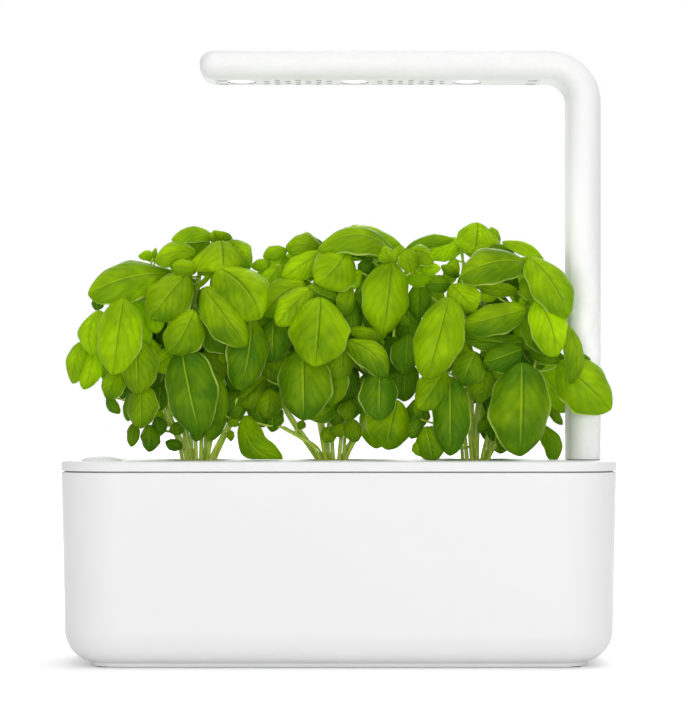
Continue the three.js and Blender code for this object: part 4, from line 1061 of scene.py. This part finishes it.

# foot column and row, tip column and row, width, depths of foot and tip, and how light the leaf is, its own
# green with painted light and shade in it;
# where it isn't a plain leaf also its bow to the left, as a share of its length, and its roll in degrees
leafRows = {
    "left": (
        (208, 243, 180, 249, 18, 0, -8, 0.45, -0.1, 20), (220, 242, 222, 271, 50, -36, -60, 0.6),
        (226, 243, 248, 268, 22, -34, -44, 0.5, 0.12, 20),
        (194, 254, 155, 261, 23, -30, -50, 0.55, -0.12, 25),
        (163, 274, 90, 294, 38, -40, -70, 0.45, -0.06, 25), (184, 275, 150, 317, 40, -55, -75, 0.5),
        (219, 270, 258, 317, 46, -60, -78, 0.6, 0.1, 20), (204, 290, 243, 344, 34, -70, -84, 0.5),
        (250, 320, 239, 388, 36, -62, -70, 0.3, 0.05, 15), (122, 301, 112, 372, 41, -74, -88, 0.72, 0, 10),
        (98, 312, 92, 354, 24, -55, -62, 0.65, -0.15, 20), (84, 343, 72, 382, 22, -40, -45, 0.5, -0.1, 30),
        (92, 352, 83, 388, 20, -48, -52, 0.75, 0.05, 10), (136, 340, 137, 392, 34, -62, -70, 0.4),
        (118, 372, 106, 398, 22, -50, -58, 0.5, -0.05, 20), (140, 386, 140, 427, 28, -58, -64, 0.4),
        (182, 346, 150, 364, 18, -20, -30, 0.4, 0, 30), (192, 312, 169, 352, 36, -70, -86, 0.6, 0.05, 12),
        (197, 315, 237, 348, 34, -50, -60, 0.35), (210, 348, 219, 380, 24, -36, -42, 0.3),
        (181, 351, 198, 432, 46, -78, -88, 0.24, 0, 8), (211, 237, 172, 240, 15, -10, -24, 0.6, -0.16, 45),
        (155, 260, 138, 256, 10, -10, -20, 0.5, -0.15, 20), (196, 268, 172, 266, 16, -50, -60, 0.6, 0, 20),
        (197, 270, 208, 262, 14, -45, -52, 0.8, 0, 20), (107, 396, 118, 413, 11, -46, -50, 0.3, -0.1, 15),
        (132, 392, 127, 420, 16, -48, -52, 0.3, 0, 20), (149, 426, 148, 451, 18, -30, -36, 0.2),
        (160, 384, 158, 410, 17, -35, -40, 0.3), (213, 374, 217, 424, 15, -50, -55, 0.4, 0.1, 25),
        (222, 413, 208, 440, 16, -40, -46, 0.3), (220, 244, 226, 234, 22, -20, -24, 0.6),
        (216, 243, 214, 231, 10, -18, -20, 0.6), (222, 243, 228, 234, 16, -16, -20, 0.5, 0, 20),
        (152, 258, 154.5, 248.5, 5, -20, -20, 0.5), (196, 288, 211, 273, 5, -40, -40, 0.85),
        (224, 268, 212, 262, 8, -40, -42, 0.85), (97, 298, 95, 310, 12, -30, -32, 0.1),
        (150, 340, 145, 368, 20, -36, -40, 0.95), (168, 374, 166, 398, 14, -30, -32, 0.1),
        (172, 354, 152, 368, 22, -45, -50, 0.8), (224, 350, 223, 363, 10, -45, -48, 0.85),
        (196, 424, 195, 441, 14, -40, -44, 0.1), (133, 424, 130, 446, 12, -30, -34, 0.2),
        (155, 418, 160, 435, 15, -28, -30, 0.1), (228, 420, 238, 425, 8, -20, -20, 0.4),
        (230, 431, 230, 441, 7, -20, -20, 0.4), (183, 424, 169, 432, 12, -36, -40, 0.3),
        (181, 447, 165, 442, 11, -24, -28, 0.1), (148, 300, 156, 332, 20, -40, -50, 1.0),
        (262, 306, 262, 332, 18, -8, -10, 0.3), (236, 384, 234, 422, 24, -12, -16, 0.15),
        (250, 352, 246, 386, 24, -20, -24, 0.25), (166, 318, 164, 346, 24, -10, -14, 0.15),
        (200, 330, 206, 366, 26, 4, 0, 0.1), (128, 330, 126, 362, 24, -8, -12, 0.2),
        (232, 272, 246, 300, 26, -8, -12, 0.3),
    ),
    "middle": (
        (284, 256, 256, 292, 32, -2, -10, 0.7, 0.05, 25), (320, 249, 287, 247, 26, -10, -14, 0.5, -0.1, 20),
        (319, 253, 284, 277, 24, -22, -34, 0.85, 0, 20), (347, 250, 318, 283, 42, -45, -62, 0.65, 0.05, 15),
        (303, 284, 265, 314, 30, -36, -46, 0.65, -0.1, 15),
        (311, 290, 278, 324, 26, -60, -74, 0.65, -0.05, 12),
        (337, 300, 309, 287, 24, -50, -60, 0.25, 0.05, 20), (274, 318, 272, 361, 30, -38, -46, 0.2),
        (320, 300, 315, 364, 53, -76, -88, 0.7, 0, 8), (303, 352, 304, 418, 48, -62, -78, 0.28, 0, 10),
        (326, 362, 331, 405, 24, -50, -55, 0.5, 0.1, 20), (245, 418, 280, 459, 27, -16, -24, 0.5, -0.2, 10),
        (270, 390, 266, 418, 24, -22, -26, 0.35, 0, 10), (264, 378, 237, 404, 26, -12, -18, 0.25, 0, 20),
        (298, 348, 269, 366, 20, -20, -24, 0.4, 0, 20), (395, 255, 321, 250, 26, -30, -45, 0.45, -0.21, 40),
        (404, 257, 433, 261, 20, -38, -48, 0.6, 0.2, 30), (391, 264, 383, 332, 42, -46, -52, 0.65, 0, 12),
        (343, 346, 341, 381, 24, -54, -60, 0.5), (348, 342, 386, 375, 26, -60, -72, 0.3, 0.12, 20),
        (408, 336, 405, 373, 27, -38, -44, 0.2, 0, 12), (380, 372, 379, 419, 34, -66, -80, 0.12, 0, 10),
        (397, 402, 387, 448, 42, -38, -46, 0.55, -0.03, 12),
        (286, 250, 264, 257, 14, -5, -10, 0.6, -0.1, 25), (350, 287, 344, 315, 17, -48, -54, 0.5, 0, 20),
        (334, 405, 311, 418, 15, -45, -52, 0.4, 0.1, 10), (350, 420, 357, 441, 17, -30, -36, 0.2),
        (392, 262, 384, 247, 16, -50, -46, 0.6, 0, 20), (398, 262, 401, 246, 16, -50, -46, 0.6, 0, 20),
        (412, 272, 408, 250, 20, -52, -56, 0.6), (274, 404, 272, 431, 18, -12, -16, 0.2),
        (352, 400, 348, 420, 20, -26, -32, 0.2), (360, 272, 338, 291, 16, -40, -44, 1.0),
        (372, 262, 360, 274, 14, -30, -34, 0.2), (398, 314, 409, 325, 9, -30, -34, 0.5),
        (350, 330, 385, 336, 12, -40, -44, 0.6), (340, 424, 339, 437, 13, -30, -34, 0.3),
        (330, 428, 325, 442, 15, -26, -30, 0.3), (303, 421, 299, 429, 8, -30, -30, 0.3),
        (366, 249, 377, 257, 12, -16, -18, 0.2), (425, 264, 420, 248, 12, -40, -44, 0.5),
        (420, 268, 440, 268, 12, -40, -44, 0.9), (352, 228, 400, 247, 18, -12, -16, 0.55, 0, 20),
        (406, 251, 452, 240, 13, -8, -10, 0.4, 0.08, 20), (270, 262, 252, 267, 12, -8, -10, 0.6),
        (404, 274, 434, 277, 20, -18, -24, 0.75), (352, 300, 352, 338, 20, -30, -34, 0.25),
        (408, 308, 412, 342, 24, -14, -18, 0.3), (268, 350, 270, 384, 20, -6, -8, 0.2),
        (348, 366, 346, 404, 26, -20, -24, 0.15), (338, 402, 336, 426, 17, -16, -20, 0.15),
        (406, 362, 404, 400, 30, -14, -18, 0.1), (252, 400, 264, 426, 22, -6, -8, 0.15),
        (356, 330, 352, 362, 26, -6, -10, 0.1), (372, 340, 374, 372, 24, -20, -24, 0.12),
        (290, 300, 286, 336, 26, 0, -4, 0.2),
    ),
    "right": (
        (476, 224, 473, 254, 40, -10, -24, 0.7), (458, 241, 428, 256, 20, -4, -12, 0.75, 0, 20),
        (522, 263, 462, 277, 33, -55, -75, 0.3, -0.1, 20),
        (530, 260, 565, 316, 35, -62, -78, 0.5, 0.06, 15), (521, 280, 538, 297, 19, -50, -54, 0.45, 0, 20),
        (537, 302, 554, 355, 33, -68, -84, 0.85, 0.06, 12),
        (567, 328, 570, 382, 18, -64, -70, 0.45, 0.1, 20), (560, 364, 608, 408, 46, -54, -62, 0.5, 0, 12),
        (523, 310, 462, 326, 28, -60, -72, 0.45, 0, 20), (520, 350, 484, 363, 27, -64, -72, 0.25),
        (447, 300, 426, 376, 42, -76, -90, 0.65, 0, 10), (451, 286, 473, 311, 28, -56, -66, 0.65),
        (417, 284, 417, 318, 22, -16, -20, 0.4, 0, 20), (463, 341, 451, 366, 25, -56, -62, 0.5),
        (474, 353, 461, 382, 29, -66, -74, 0.4, 0, 12), (484, 370, 479, 402, 25, -50, -56, 0.45),
        (443, 371, 419, 408, 30, -72, -82, 0.5, 0, 12), (449, 380, 449, 453, 34, -72, -86, 0.24, 0, 10),
        (521, 366, 519, 453, 54, -74, -88, 0.28, 0, 8), (541, 426, 553, 461, 18, -40, -50, 0.45, 0.12, 15),
        (425, 428, 432, 461, 26, -72, -80, 0.4, 0, 12), (525, 316, 548, 352, 24, -48, -56, 0.5),
        (503, 243, 544, 270, 13, -20, -34, 0.65, 0.16, 45), (515, 290, 478, 287, 14, -40, -46, 0.5, 0, 20),
        (522, 342, 462, 335, 17, -50, -60, 0.25, 0.05, 20), (449, 283, 425, 283, 18, -18, -24, 0.4, 0, 20),
        (419, 440, 420, 456, 17, -70, -76, 0.5, 0, 12), (524, 368, 546, 392, 16, -46, -52, 0.5, 0, 20),
        (498, 243, 490, 228, 10, -10, -12, 0.5), (512, 252, 484, 246, 10, -20, -24, 0.2),
        (524, 296, 520, 307, 7, -44, -46, 0.85), (576, 356, 589, 359.5, 7, -50, -52, 0.2),
        (496, 297, 476, 297, 9, -44, -46, 0.85), (458, 276, 441, 266, 10, -14, -18, 0.5),
        (418, 398, 415, 415, 8, -60, -64, 0.4), (508, 425, 500, 449, 16, -40, -44, 0.3),
        (549, 408, 561, 424, 9, -40, -44, 0.2), (418, 419, 410, 438, 13, -62, -62, 0.2),
        (488, 421, 478, 432, 12, -40, -44, 0.3), (500, 412, 492, 440, 20, -30, -34, 0.1),
        (455, 260, 443, 286, 14, -8, -12, 0.6), (416, 400, 414, 430, 22, -30, -34, 0.15),
        (530, 352, 563, 359, 16, -40, -44, 0.3), (500, 296, 498, 332, 26, 0, -4, 0.12),
        (536, 330, 540, 368, 26, -12, -16, 0.2), (470, 300, 468, 336, 24, -6, -10, 0.2),
        (500, 380, 498, 416, 26, -10, -14, 0.12), (432, 330, 430, 364, 24, -10, -14, 0.2),
        (508, 262, 514, 292, 24, 0, -4, 0.3),
    ),
}

# column, row and depth of each point of a stem, from the soil up
stemRows = {
    "left": (
      ((186, 461, -4), (180, 440, -8), (166, 410, -14), (148, 370, -22), (134, 325, -28), (142, 285, -30)),
      ((190, 461, 6), (183, 435, 4), (176, 390, 2), (172, 340, -4), (172, 290, -10)),
      ((195, 461, -2), (194, 425, -6), (193, 370, -14), (194, 315, -18), (200, 268, -16)),
      ((200, 461, 4), (201, 425, 2), (206, 370, -4), (210, 310, -10), (215, 252, -12)),
      ((206, 461, -3), (211, 435, -8), (220, 400, -16), (226, 365, -22), (224, 325, -26), (220, 285, -24)),
      ((209, 461, -6), (218, 442, -10), (227, 425, -14), (232, 410, -18), (236, 398, -20)),
    ),
    "middle": (
      ((322, 461, 2), (313, 448, 0), (296, 424, -4), (284, 400, -8), (284, 360, -12), (290, 320, -14)),
      ((326, 461, -4), (322, 440, -10), (316, 400, -18), (312, 350, -24), (312, 300, -22), (318, 262, -12)),
      ((333, 461, 5), (332, 430, 2), (334, 380, -4), (340, 330, -12), (348, 270, -18)),
      ((339, 461, -2), (342, 430, -6), (350, 380, -14), (364, 320, -20), (384, 268, -22)),
      ((345, 461, 3), (354, 442, 0), (372, 415, -8), (388, 375, -14), (394, 330, -18), (394, 280, -20)),
      ((320, 461, -8), (313, 447, -12), (300, 438, -16), (281, 427, -18)),
    ),
    "right": (
      ((466, 461, 2), (464, 438, 0), (460, 405, -10), (454, 360, -16), (450, 310, -18)),
      ((471, 461, -4), (469, 435, -10), (468, 395, -20), (468, 350, -24), (462, 300, -22), (462, 262, -8)),
      ((476, 461, 5), (477, 430, 2), (482, 380, -2), (484, 320, -4), (480, 240, -4)),
      ((481, 461, -2), (487, 435, -8), (500, 395, -16), (514, 350, -22), (522, 300, -24), (520, 262, -22)),
      ((486, 461, 3), (497, 440, 0), (516, 405, -10), (534, 365, -20), (542, 325, -26)),
    ),
}

plantSizes = {
    "soil": 106.3, "stem": 1.35, "sideStem": 0.9, "stemTip": 0.75, "stemSides": 10, "stemSteps": 26,
    "bareSteps": 7, "fullStem": 5, "twinStart": 4.5, "twinStep": 0.75, "twinDepth": 12, "twinShare": 0.8,
    "stalk": 0.62, "stalkFoot": 1.1, "stalkTip": 0.8, "stalkSides": 6, "stalkSteps": 6, "sag": 0.06,
    "plainCurl": (0, 15), "backWidth": 20, "backReach": 60, "innerWidth": 22, "innerRow": 405,
    "backLeaf": {"seed": 100, "mirrored": True, "reach": 0.8, "darker": 0.05},
    "innerFront": {"seed": 200, "mirrored": False, "depthShare": 0.42, "reach": 0.84},
    "innerBack": {"seed": 300, "mirrored": True, "depthShare": 0.42, "reach": 0.7},
    "innerDark": 0.2, "innerLight": -0.3, "glow": 0.2, "glowGain": 0.35, "stemTone": (0.5, 0.1),
}
plainSpread = (-1, -0.7, -0.35, 0, 0.35, 0.7, 1)
fineSpread = (-1, -0.86, -0.64, -0.4, -0.16, 0, 0.16, 0.4, 0.64, 0.86, 1)

# cup, puff, fold and wave are shares of half the blade's width, and angles but twist are in radians
bladeSizes = {
    "widen": 1.12, "lengthen": 0.04, "bulge": 0.15, "twist": 9, "lowest": 113.1, "lowestUnder": 112.9,
    "thickness": 0.34, "rimFrom": 0.95, "rimShare": 0.4, "footRound": 0.42, "tipRound": 0.5,
    "endReach": 0.35, "leastReach": 0.5, "fineWidth": 8, "fineCells": 18, "plainCells": 10,
    "seedTurn": 2.399,
    "cup": 0.42, "cupPower": 1.5, "puff": 0.16, "groove": 0.35, "grooveReach": 0.16, "grooveFull": 8,
    "waver": 0.045, "waverTurns": 15, "waverShift": 2.1,
    "fold": 0.03, "foldTurns": 5.5, "foldSlant": 1.4, "foldShift": 0.15,
    "wave": 0.07, "waveTurns": 11, "waveSeed": 1.7, "waveShift": 1.3,
    "topLight": 0.32, "topFrom": 0.2, "footShade": 0.12,
}


def placePoint(side, column, row, depth):
    size = view["pixelSize"]
    x = podPlaces[side] + (column - podColumns[side]) * size
    y = depth * size
    z = view["lidTop"] + (view["lidRow"] - row) * size
    nearer = y / view["distance"]
    return Vector((x + (x - view["x"]) * nearer, y, z + (z - view["height"]) * nearer))


# a mesh that grows from rings of points, with one map and one tone, painted light and shade included, for
# each point
class PlantMesh:
    def __init__(self, name):
        self.name = name
        self.points = []
        self.faces = []
        self.maps = []
        self.tones = []
        self.glows = []

    def addPoint(self, point, across, along, tone, glow):
        self.points.append(point)
        self.maps.append((across, along))
        self.tones.append(tone)
        self.glows.append(glow)
        return len(self.points) - 1

    def finish(self):
        mesh = bpy.data.meshes.new(self.name)
        mesh.from_pydata([p * mm for p in self.points], [], self.faces)
        layer = mesh.uv_layers.new(name="bladeMap")
        for loop in mesh.loops:
            layer.data[loop.index].uv = self.maps[loop.vertex_index]
        for label, values in (("leafToneAndPaintedLight", self.tones), ("leafGlow", self.glows)):
            attribute = mesh.attributes.new(label, "FLOAT", "POINT")
            attribute.data.foreach_set("value", values)
        piece = bpy.data.objects.new(self.name, mesh)
        bpy.context.collection.objects.link(piece)
        activate(piece)
        bpy.ops.object.shade_smooth()
        return piece


def bezier(foot, control, tip, t):
    return foot * (1 - t) ** 2 + control * (2 * t * (1 - t)) + tip * t**2


def bezierSlope(foot, control, tip, t):
    return ((control - foot) * (1 - t) + (tip - control) * t).normalized()


# half the width of a blade at a share of its length: round at the foot, pointed at the tip
def bladeReach(t):
    foot = bladeSizes["footRound"]
    tip = bladeSizes["tipRound"]
    peak = foot**foot * tip**tip / (foot + tip) ** (foot + tip)
    return max(t, 0) ** foot * max(1 - t, 0) ** tip / peak


# how high the blade stands there: cupped, puffed between midrib and rim, folded and waved
def bladeHeight(t, u, half, edge, phase):
    p = bladeSizes
    size = abs(u)
    height = -p["cup"] * edge * size ** p["cupPower"] + p["puff"] * edge * math.sin(math.pi * size)
    height -= p["groove"] * max(0, 1 - size / p["grooveReach"]) * min(1, half / p["grooveFull"])
    turns = p["foldTurns"] * t - p["foldSlant"] * size + p["foldShift"] * math.sin(phase)
    inside = math.sin(math.pi * t)
    height += p["fold"] * half * math.sin(2 * math.pi * turns) * math.sin(math.pi * size) * inside
    wave = math.sin(t * p["waveTurns"] + phase * p["waveSeed"] + p["waveShift"] * (u > 0))
    return height + p["wave"] * half * size**3 * wave * inside


def addLeaf(plant, foot, tip, width, bow, roll, outward, tone, glow, seed, mirrored):
    p = bladeSizes
    foot, tip = foot.lerp(tip, -p["lengthen"]), tip.lerp(foot, -p["lengthen"])
    length = (tip - foot).length
    across = Vector((foot.z - tip.z, 0, tip.x - foot.x)).normalized()
    forward = Vector((0, -1, 0))
    control = (foot + tip) / 2 + across * (2 * bow * length) + forward * (2 * p["bulge"] * length)
    angle = math.radians(-roll if across.z + across.x * outward < 0 else roll)
    sideways = across * math.cos(angle) - forward * math.sin(angle)
    half = width * p["widen"] / 2 / math.cos(angle)
    fine = width > p["fineWidth"]
    cells = p["fineCells"] if fine else p["plainCells"]
    spread = fineSpread if fine else plainSpread
    phase = seed * p["seedTurn"]
    upper = []
    lower = []
    for i in range(cells + 1):
        t = (1 - math.cos(math.pi * i / cells)) / 2
        middle = bezier(foot, control, tip, t)
        slope = bezierSlope(foot, control, tip, t)
        twist = math.radians(p["twist"]) * math.sin(phase) * (2 * t - 1)
        wide = Matrix.Rotation(twist, 3, slope) @ sideways
        normal = wide.cross(slope).normalized()
        if normal.dot(forward) < 0:
            normal = -normal
        reach = max(half * bladeReach(t), p["endReach"] if i in (0, cells) else p["leastReach"])
        upperRow = []
        lowerRow = []
        for u in spread:
            size = abs(u)
            waver = math.sin(t * p["waverTurns"] + phase + p["waverShift"] * (u > 0))
            edge = reach * (1 + p["waver"] * waver * size)
            point = middle + wide * (u * edge) + normal * bladeHeight(t, u, half, edge, phase)
            thick = p["thickness"] * (1 if size < p["rimFrom"] else p["rimShare"])
            top = point + normal * (thick / 2)
            low = point - normal * (thick / 2)
            if mirrored:
                top.y = -top.y
                low.y = -low.y
            top.z = max(top.z, p["lowest"])
            low.z = max(low.z, p["lowestUnder"])
            tilt = p["cupPower"] * p["cup"] * math.copysign(size ** (p["cupPower"] - 1), u)
            facing = (normal + wide * tilt).normalized()
            # painted light and shade: the tone rises where the blade faces up and falls towards its foot
            shade = tone + p["topLight"] * (facing.z - p["topFrom"]) - p["footShade"] * (1 - t) ** 2
            upperRow.append(plant.addPoint(top, (u + 1) / 2, t, shade, glow))
            lowerRow.append(plant.addPoint(low, (u + 1) / 2, t, shade, glow))
        upper.append(upperRow)
        lower.append(lowerRow)
    closeLeaf(plant, upper, lower)


# faces over both sides of a blade and round its rim, all pointing outwards
def closeLeaf(plant, upper, lower):
    cells = len(upper) - 1
    count = len(upper[0]) - 1
    made = []
    for i in range(cells):
        for j in range(count):
            made.append((upper[i][j], upper[i][j + 1], upper[i + 1][j + 1], upper[i + 1][j]))
            made.append((lower[i][j], lower[i + 1][j], lower[i + 1][j + 1], lower[i][j + 1]))
        made.append((upper[i][0], upper[i + 1][0], lower[i + 1][0], lower[i][0]))
        made.append((upper[i][count], lower[i][count], lower[i + 1][count], upper[i + 1][count]))
    for j in range(count):
        made.append((upper[0][j], lower[0][j], lower[0][j + 1], upper[0][j + 1]))
        made.append((upper[cells][j], upper[cells][j + 1], lower[cells][j + 1], lower[cells][j]))
    a, b, c = (plant.points[k] for k in made[0][:3])
    wanted = plant.points[upper[0][0]] - plant.points[lower[0][0]]
    if (b - a).cross(c - a).dot(wanted) < 0:
        made = [face[::-1] for face in made]
    plant.faces.extend(made)


# a curve through all the points, in count steps
def smoothPath(points, count):
    path = [2 * points[0] - points[1], *points, 2 * points[-1] - points[-2]]
    result = []
    last = len(points) - 1
    for i in range(count + 1):
        at = i / count * last
        k = min(int(at), last - 1)
        t = at - k
        a, b, c, d = path[k : k + 4]
        result.append(
            (2 * b + (c - a) * t + (2 * a - 5 * b + 4 * c - d) * t**2 + (3 * b - a - 3 * c + d) * t**3) / 2
        )
    return result


def addTube(plant, path, startRadius, endRadius, sides):
    rings = []
    count = len(path) - 1
    for i, centre in enumerate(path):
        slope = (path[min(i + 1, count)] - path[max(i - 1, 0)]).normalized()
        right = slope.orthogonal() if abs(slope.y) > flatShare else Vector((0, 1, 0)).cross(slope)
        right.normalize()
        back = slope.cross(right)
        radius = startRadius + (endRadius - startRadius) * i / count
        ring = []
        for j in range(sides):
            angle = 2 * math.pi * j / sides
            point = centre + right * (radius * math.cos(angle)) + back * (radius * math.sin(angle))
            ring.append(plant.addPoint(point, j / sides, i / count, *plantSizes["stemTone"]))
        rings.append(ring)
    for i in range(count):
        for j in range(sides):
            k = (j + 1) % sides
            plant.faces.append((rings[i][j], rings[i][k], rings[i + 1][k], rings[i + 1][j]))
    plant.faces.append(tuple(reversed(rings[0])))
    plant.faces.append(tuple(rings[-1]))


# the stems that rise from the soil, each with a thinner twin beside it
def growStems(side, stalks):
    p = plantSizes
    stems = []
    for i, row in enumerate(stemRows[side]):
        for aside in (0, 1 if i % 2 else -1):
            points = []
            for k, (column, height, depth) in enumerate(row):
                column += aside * (p["twinStart"] - p["twinStep"] * k)
                points.append(placePoint(side, column, height, depth + abs(aside) * p["twinDepth"]))
            below = Vector((points[0].x, points[0].y, p["soil"]))
            path = smoothPath([below, *points], p["stemSteps"])
            stems.append(path[p["bareSteps"] :])
            radius = p["stem"] if len(row) >= p["fullStem"] else p["sideStem"]
            radius *= p["twinShare"] if aside else 1
            addTube(stalks, path, radius, p["stemTip"], p["stemSides"])
    return stems


# a leaf's stalk starts at the point of a stem that is near and not above its foot
def nearestStem(foot, stems):
    def cost(point):
        return (point - foot).length + 2 * max(0, point.z - foot.z + plantSizes["stem"])

    return min((point for stem in stems for point in stem), key=cost)


def makePlant(side, body):
    p = plantSizes
    podColumn = podColumns[side]
    leaves = PlantMesh(f"leaves_{side}")
    stalks = PlantMesh(f"stems_{side}")
    stems = growStems(side, stalks)

    # a leaf from its row, or one that fills the plant inside and behind, drawn in to the pod
    def grow(i, row, seed=0, mirrored=False, depthShare=1.0, reach=1.0, darker=0.0):
        footX, footY, tipX, tipY, width, footDepth, tipDepth, tone, *curl = row
        bow, roll = curl or p["plainCurl"]
        footX = podColumn + (footX - podColumn) * reach
        tipX = podColumn + (tipX - podColumn) * reach
        foot = placePoint(side, footX, footY, footDepth * depthShare)
        tip = placePoint(side, tipX, tipY, tipDepth * depthShare)
        outward = math.copysign(1, (footX + tipX) / 2 - podColumn)
        size = width * reach * view["pixelSize"]
        tone = min(1, max(0, tone - darker))
        glow = p["glow"] + p["glowGain"] * tone
        addLeaf(leaves, foot, tip, size, bow, roll, outward, tone, glow, i + seed, mirrored)
        start = nearestStem(foot, stems)
        if mirrored:
            foot = Vector((foot.x, -foot.y, foot.z))
        sag = (start + foot) / 2 + Vector((0, 0, -p["sag"] * (foot - start).length))
        path = smoothPath([start, sag, foot], p["stalkSteps"])
        addTube(stalks, path, p["stalk"] * p["stalkFoot"], p["stalk"] * p["stalkTip"], p["stalkSides"])

    for i, row in enumerate(leafRows[side]):
        grow(i, row)
    beside = {"left": -1, "middle": 0, "right": 1}[side]
    # painted shade: the leaves behind are a little darker, and the filling leaves inside the plant darker
    # still, but every third in front and every second behind is made lighter instead
    for i, row in enumerate(leafRows[side]):
        offset = (row[0] + row[2]) / 2 - podColumn
        if row[4] >= p["backWidth"] and (abs(offset) < p["backReach"] or offset * beside > 0):
            grow(i, row, **p["backLeaf"])
        if row[4] >= p["innerWidth"] and row[3] < p["innerRow"]:
            grow(i, row, **p["innerFront"], darker=p["innerDark"] if i % 3 else p["innerLight"])
            grow(i, row, **p["innerBack"], darker=p["innerDark"] if i % 2 else p["innerLight"])
    place(leaves.finish(), body, "basil_leaf", basilLeaf, f"basil_{side}")
    place(stalks.finish(), body, "basil_leaf", basilStem, f"basil_{side}")


for side, body in podBodies.items():
    makePlant(side, body)
print("plants made")


# stage: a pale floor and a white surrounding, with places and sizes in metres
stageLook = {
    "floor": {"Base Color": (0.9, 0.9, 0.9), "Roughness": 0.9, "Specular IOR Level": 0.1},
    "floorSize": 40, "floorSqueeze": (0.45, 1, 1), "floorGlow": (0.26, 1.0), "glowRange": (0.08, 0.35),
    "world": (0.7, 1.0, 0.58, 0.05),
    "lamps": {
        "frontSoft": {"at": (0.1, -2.1, 0.25), "aim": (0, 0, 0.08), "size": (1.4, 0.4), "power": 13.1},
        "topSoft": {"at": (0.1, -0.5, 1.6), "aim": (0, -0.4, 0), "size": (1.2, 0.9), "power": 5.2},
        "lampStrip": {
            "at": (0, -1.6, 0.335), "aim": (0.03, 0, 0.335), "size": (0.9, 0.02), "spread": 4,
            "power": 0.013,
        },
        "backSoft": {"at": (0.2, 1.3, 0.9), "aim": (0, 0, 0.2), "size": (1.2, 0.8), "power": 14},
        "mastLeft": {
            "at": (-1.1, -0.5, 0.5), "aim": (0.135, 0, 0.24), "size": (0.08, 0.08), "spread": 5,
            "power": 0.007,
        },
        "mastFront": {
            "at": (0.5, -1.6, 0.25), "aim": (0.14, 0, 0.17), "size": (0.05, 0.08), "spread": 4,
            "power": 0.004,
        },
    },
}


def makeFloor():
    look = stageLook
    deselectAll()
    bpy.ops.mesh.primitive_plane_add(size=look["floorSize"], location=(0, 0, 0))
    floor = nameNew("stageFloor")
    net = Finish("stageFloor")
    for name, value in look["floor"].items():
        net.put(name, value)
    far = net.add("VectorMath", Vector=net.stretched(look["floorSqueeze"]))
    far.operation = "LENGTH"
    glow = net.spread(far.outputs["Value"], *look["glowRange"], *look["floorGlow"])
    net.put("Emission Strength", net.times(net.seeingRays(), glow))
    net.put("Emission Color", (1, 1, 1))
    floor.data.materials.append(net.material)


# the surrounding is white to look at and lights the object less from its two sides
def makeWorld():
    world = bpy.data.worlds.new("surrounding")
    bpy.context.scene.world = world
    world.use_nodes = True
    net = NodeNet(world.node_tree)
    x, y, _ = net.split(net.add("TexCoord").outputs["Generated"])
    aside = net.most(net.size(x), y)
    lit = net.add("Background", Color=(1, 1, 1), Strength=net.spread(aside, *stageLook["world"]))
    shown = net.add("Background", Color=(1, 1, 1), Strength=1)
    mixed = net.mixShaders(net.seeingRays(), lit.outputs["Background"], shown.outputs["Background"])
    net.feed(net.nodes["World Output"].inputs["Surface"], mixed)


def makeLights():
    for name, lamp in stageLook["lamps"].items():
        deselectAll()
        bpy.ops.object.light_add(type="AREA", location=lamp["at"])
        light = bpy.context.object
        light.name = name
        light.data.shape = "RECTANGLE"
        light.data.size, light.data.size_y = lamp["size"]
        light.data.energy = lamp["power"]
        light.data.spread = math.radians(lamp.get("spread", 180))
        aim = Vector(lamp["aim"]) - Vector(lamp["at"])
        light.rotation_euler = aim.to_track_quat("-Z", "Y").to_euler()


makeFloor()
makeWorld()
makeLights()
bpy.context.scene.view_settings.view_transform = "Standard"
print("stage made")
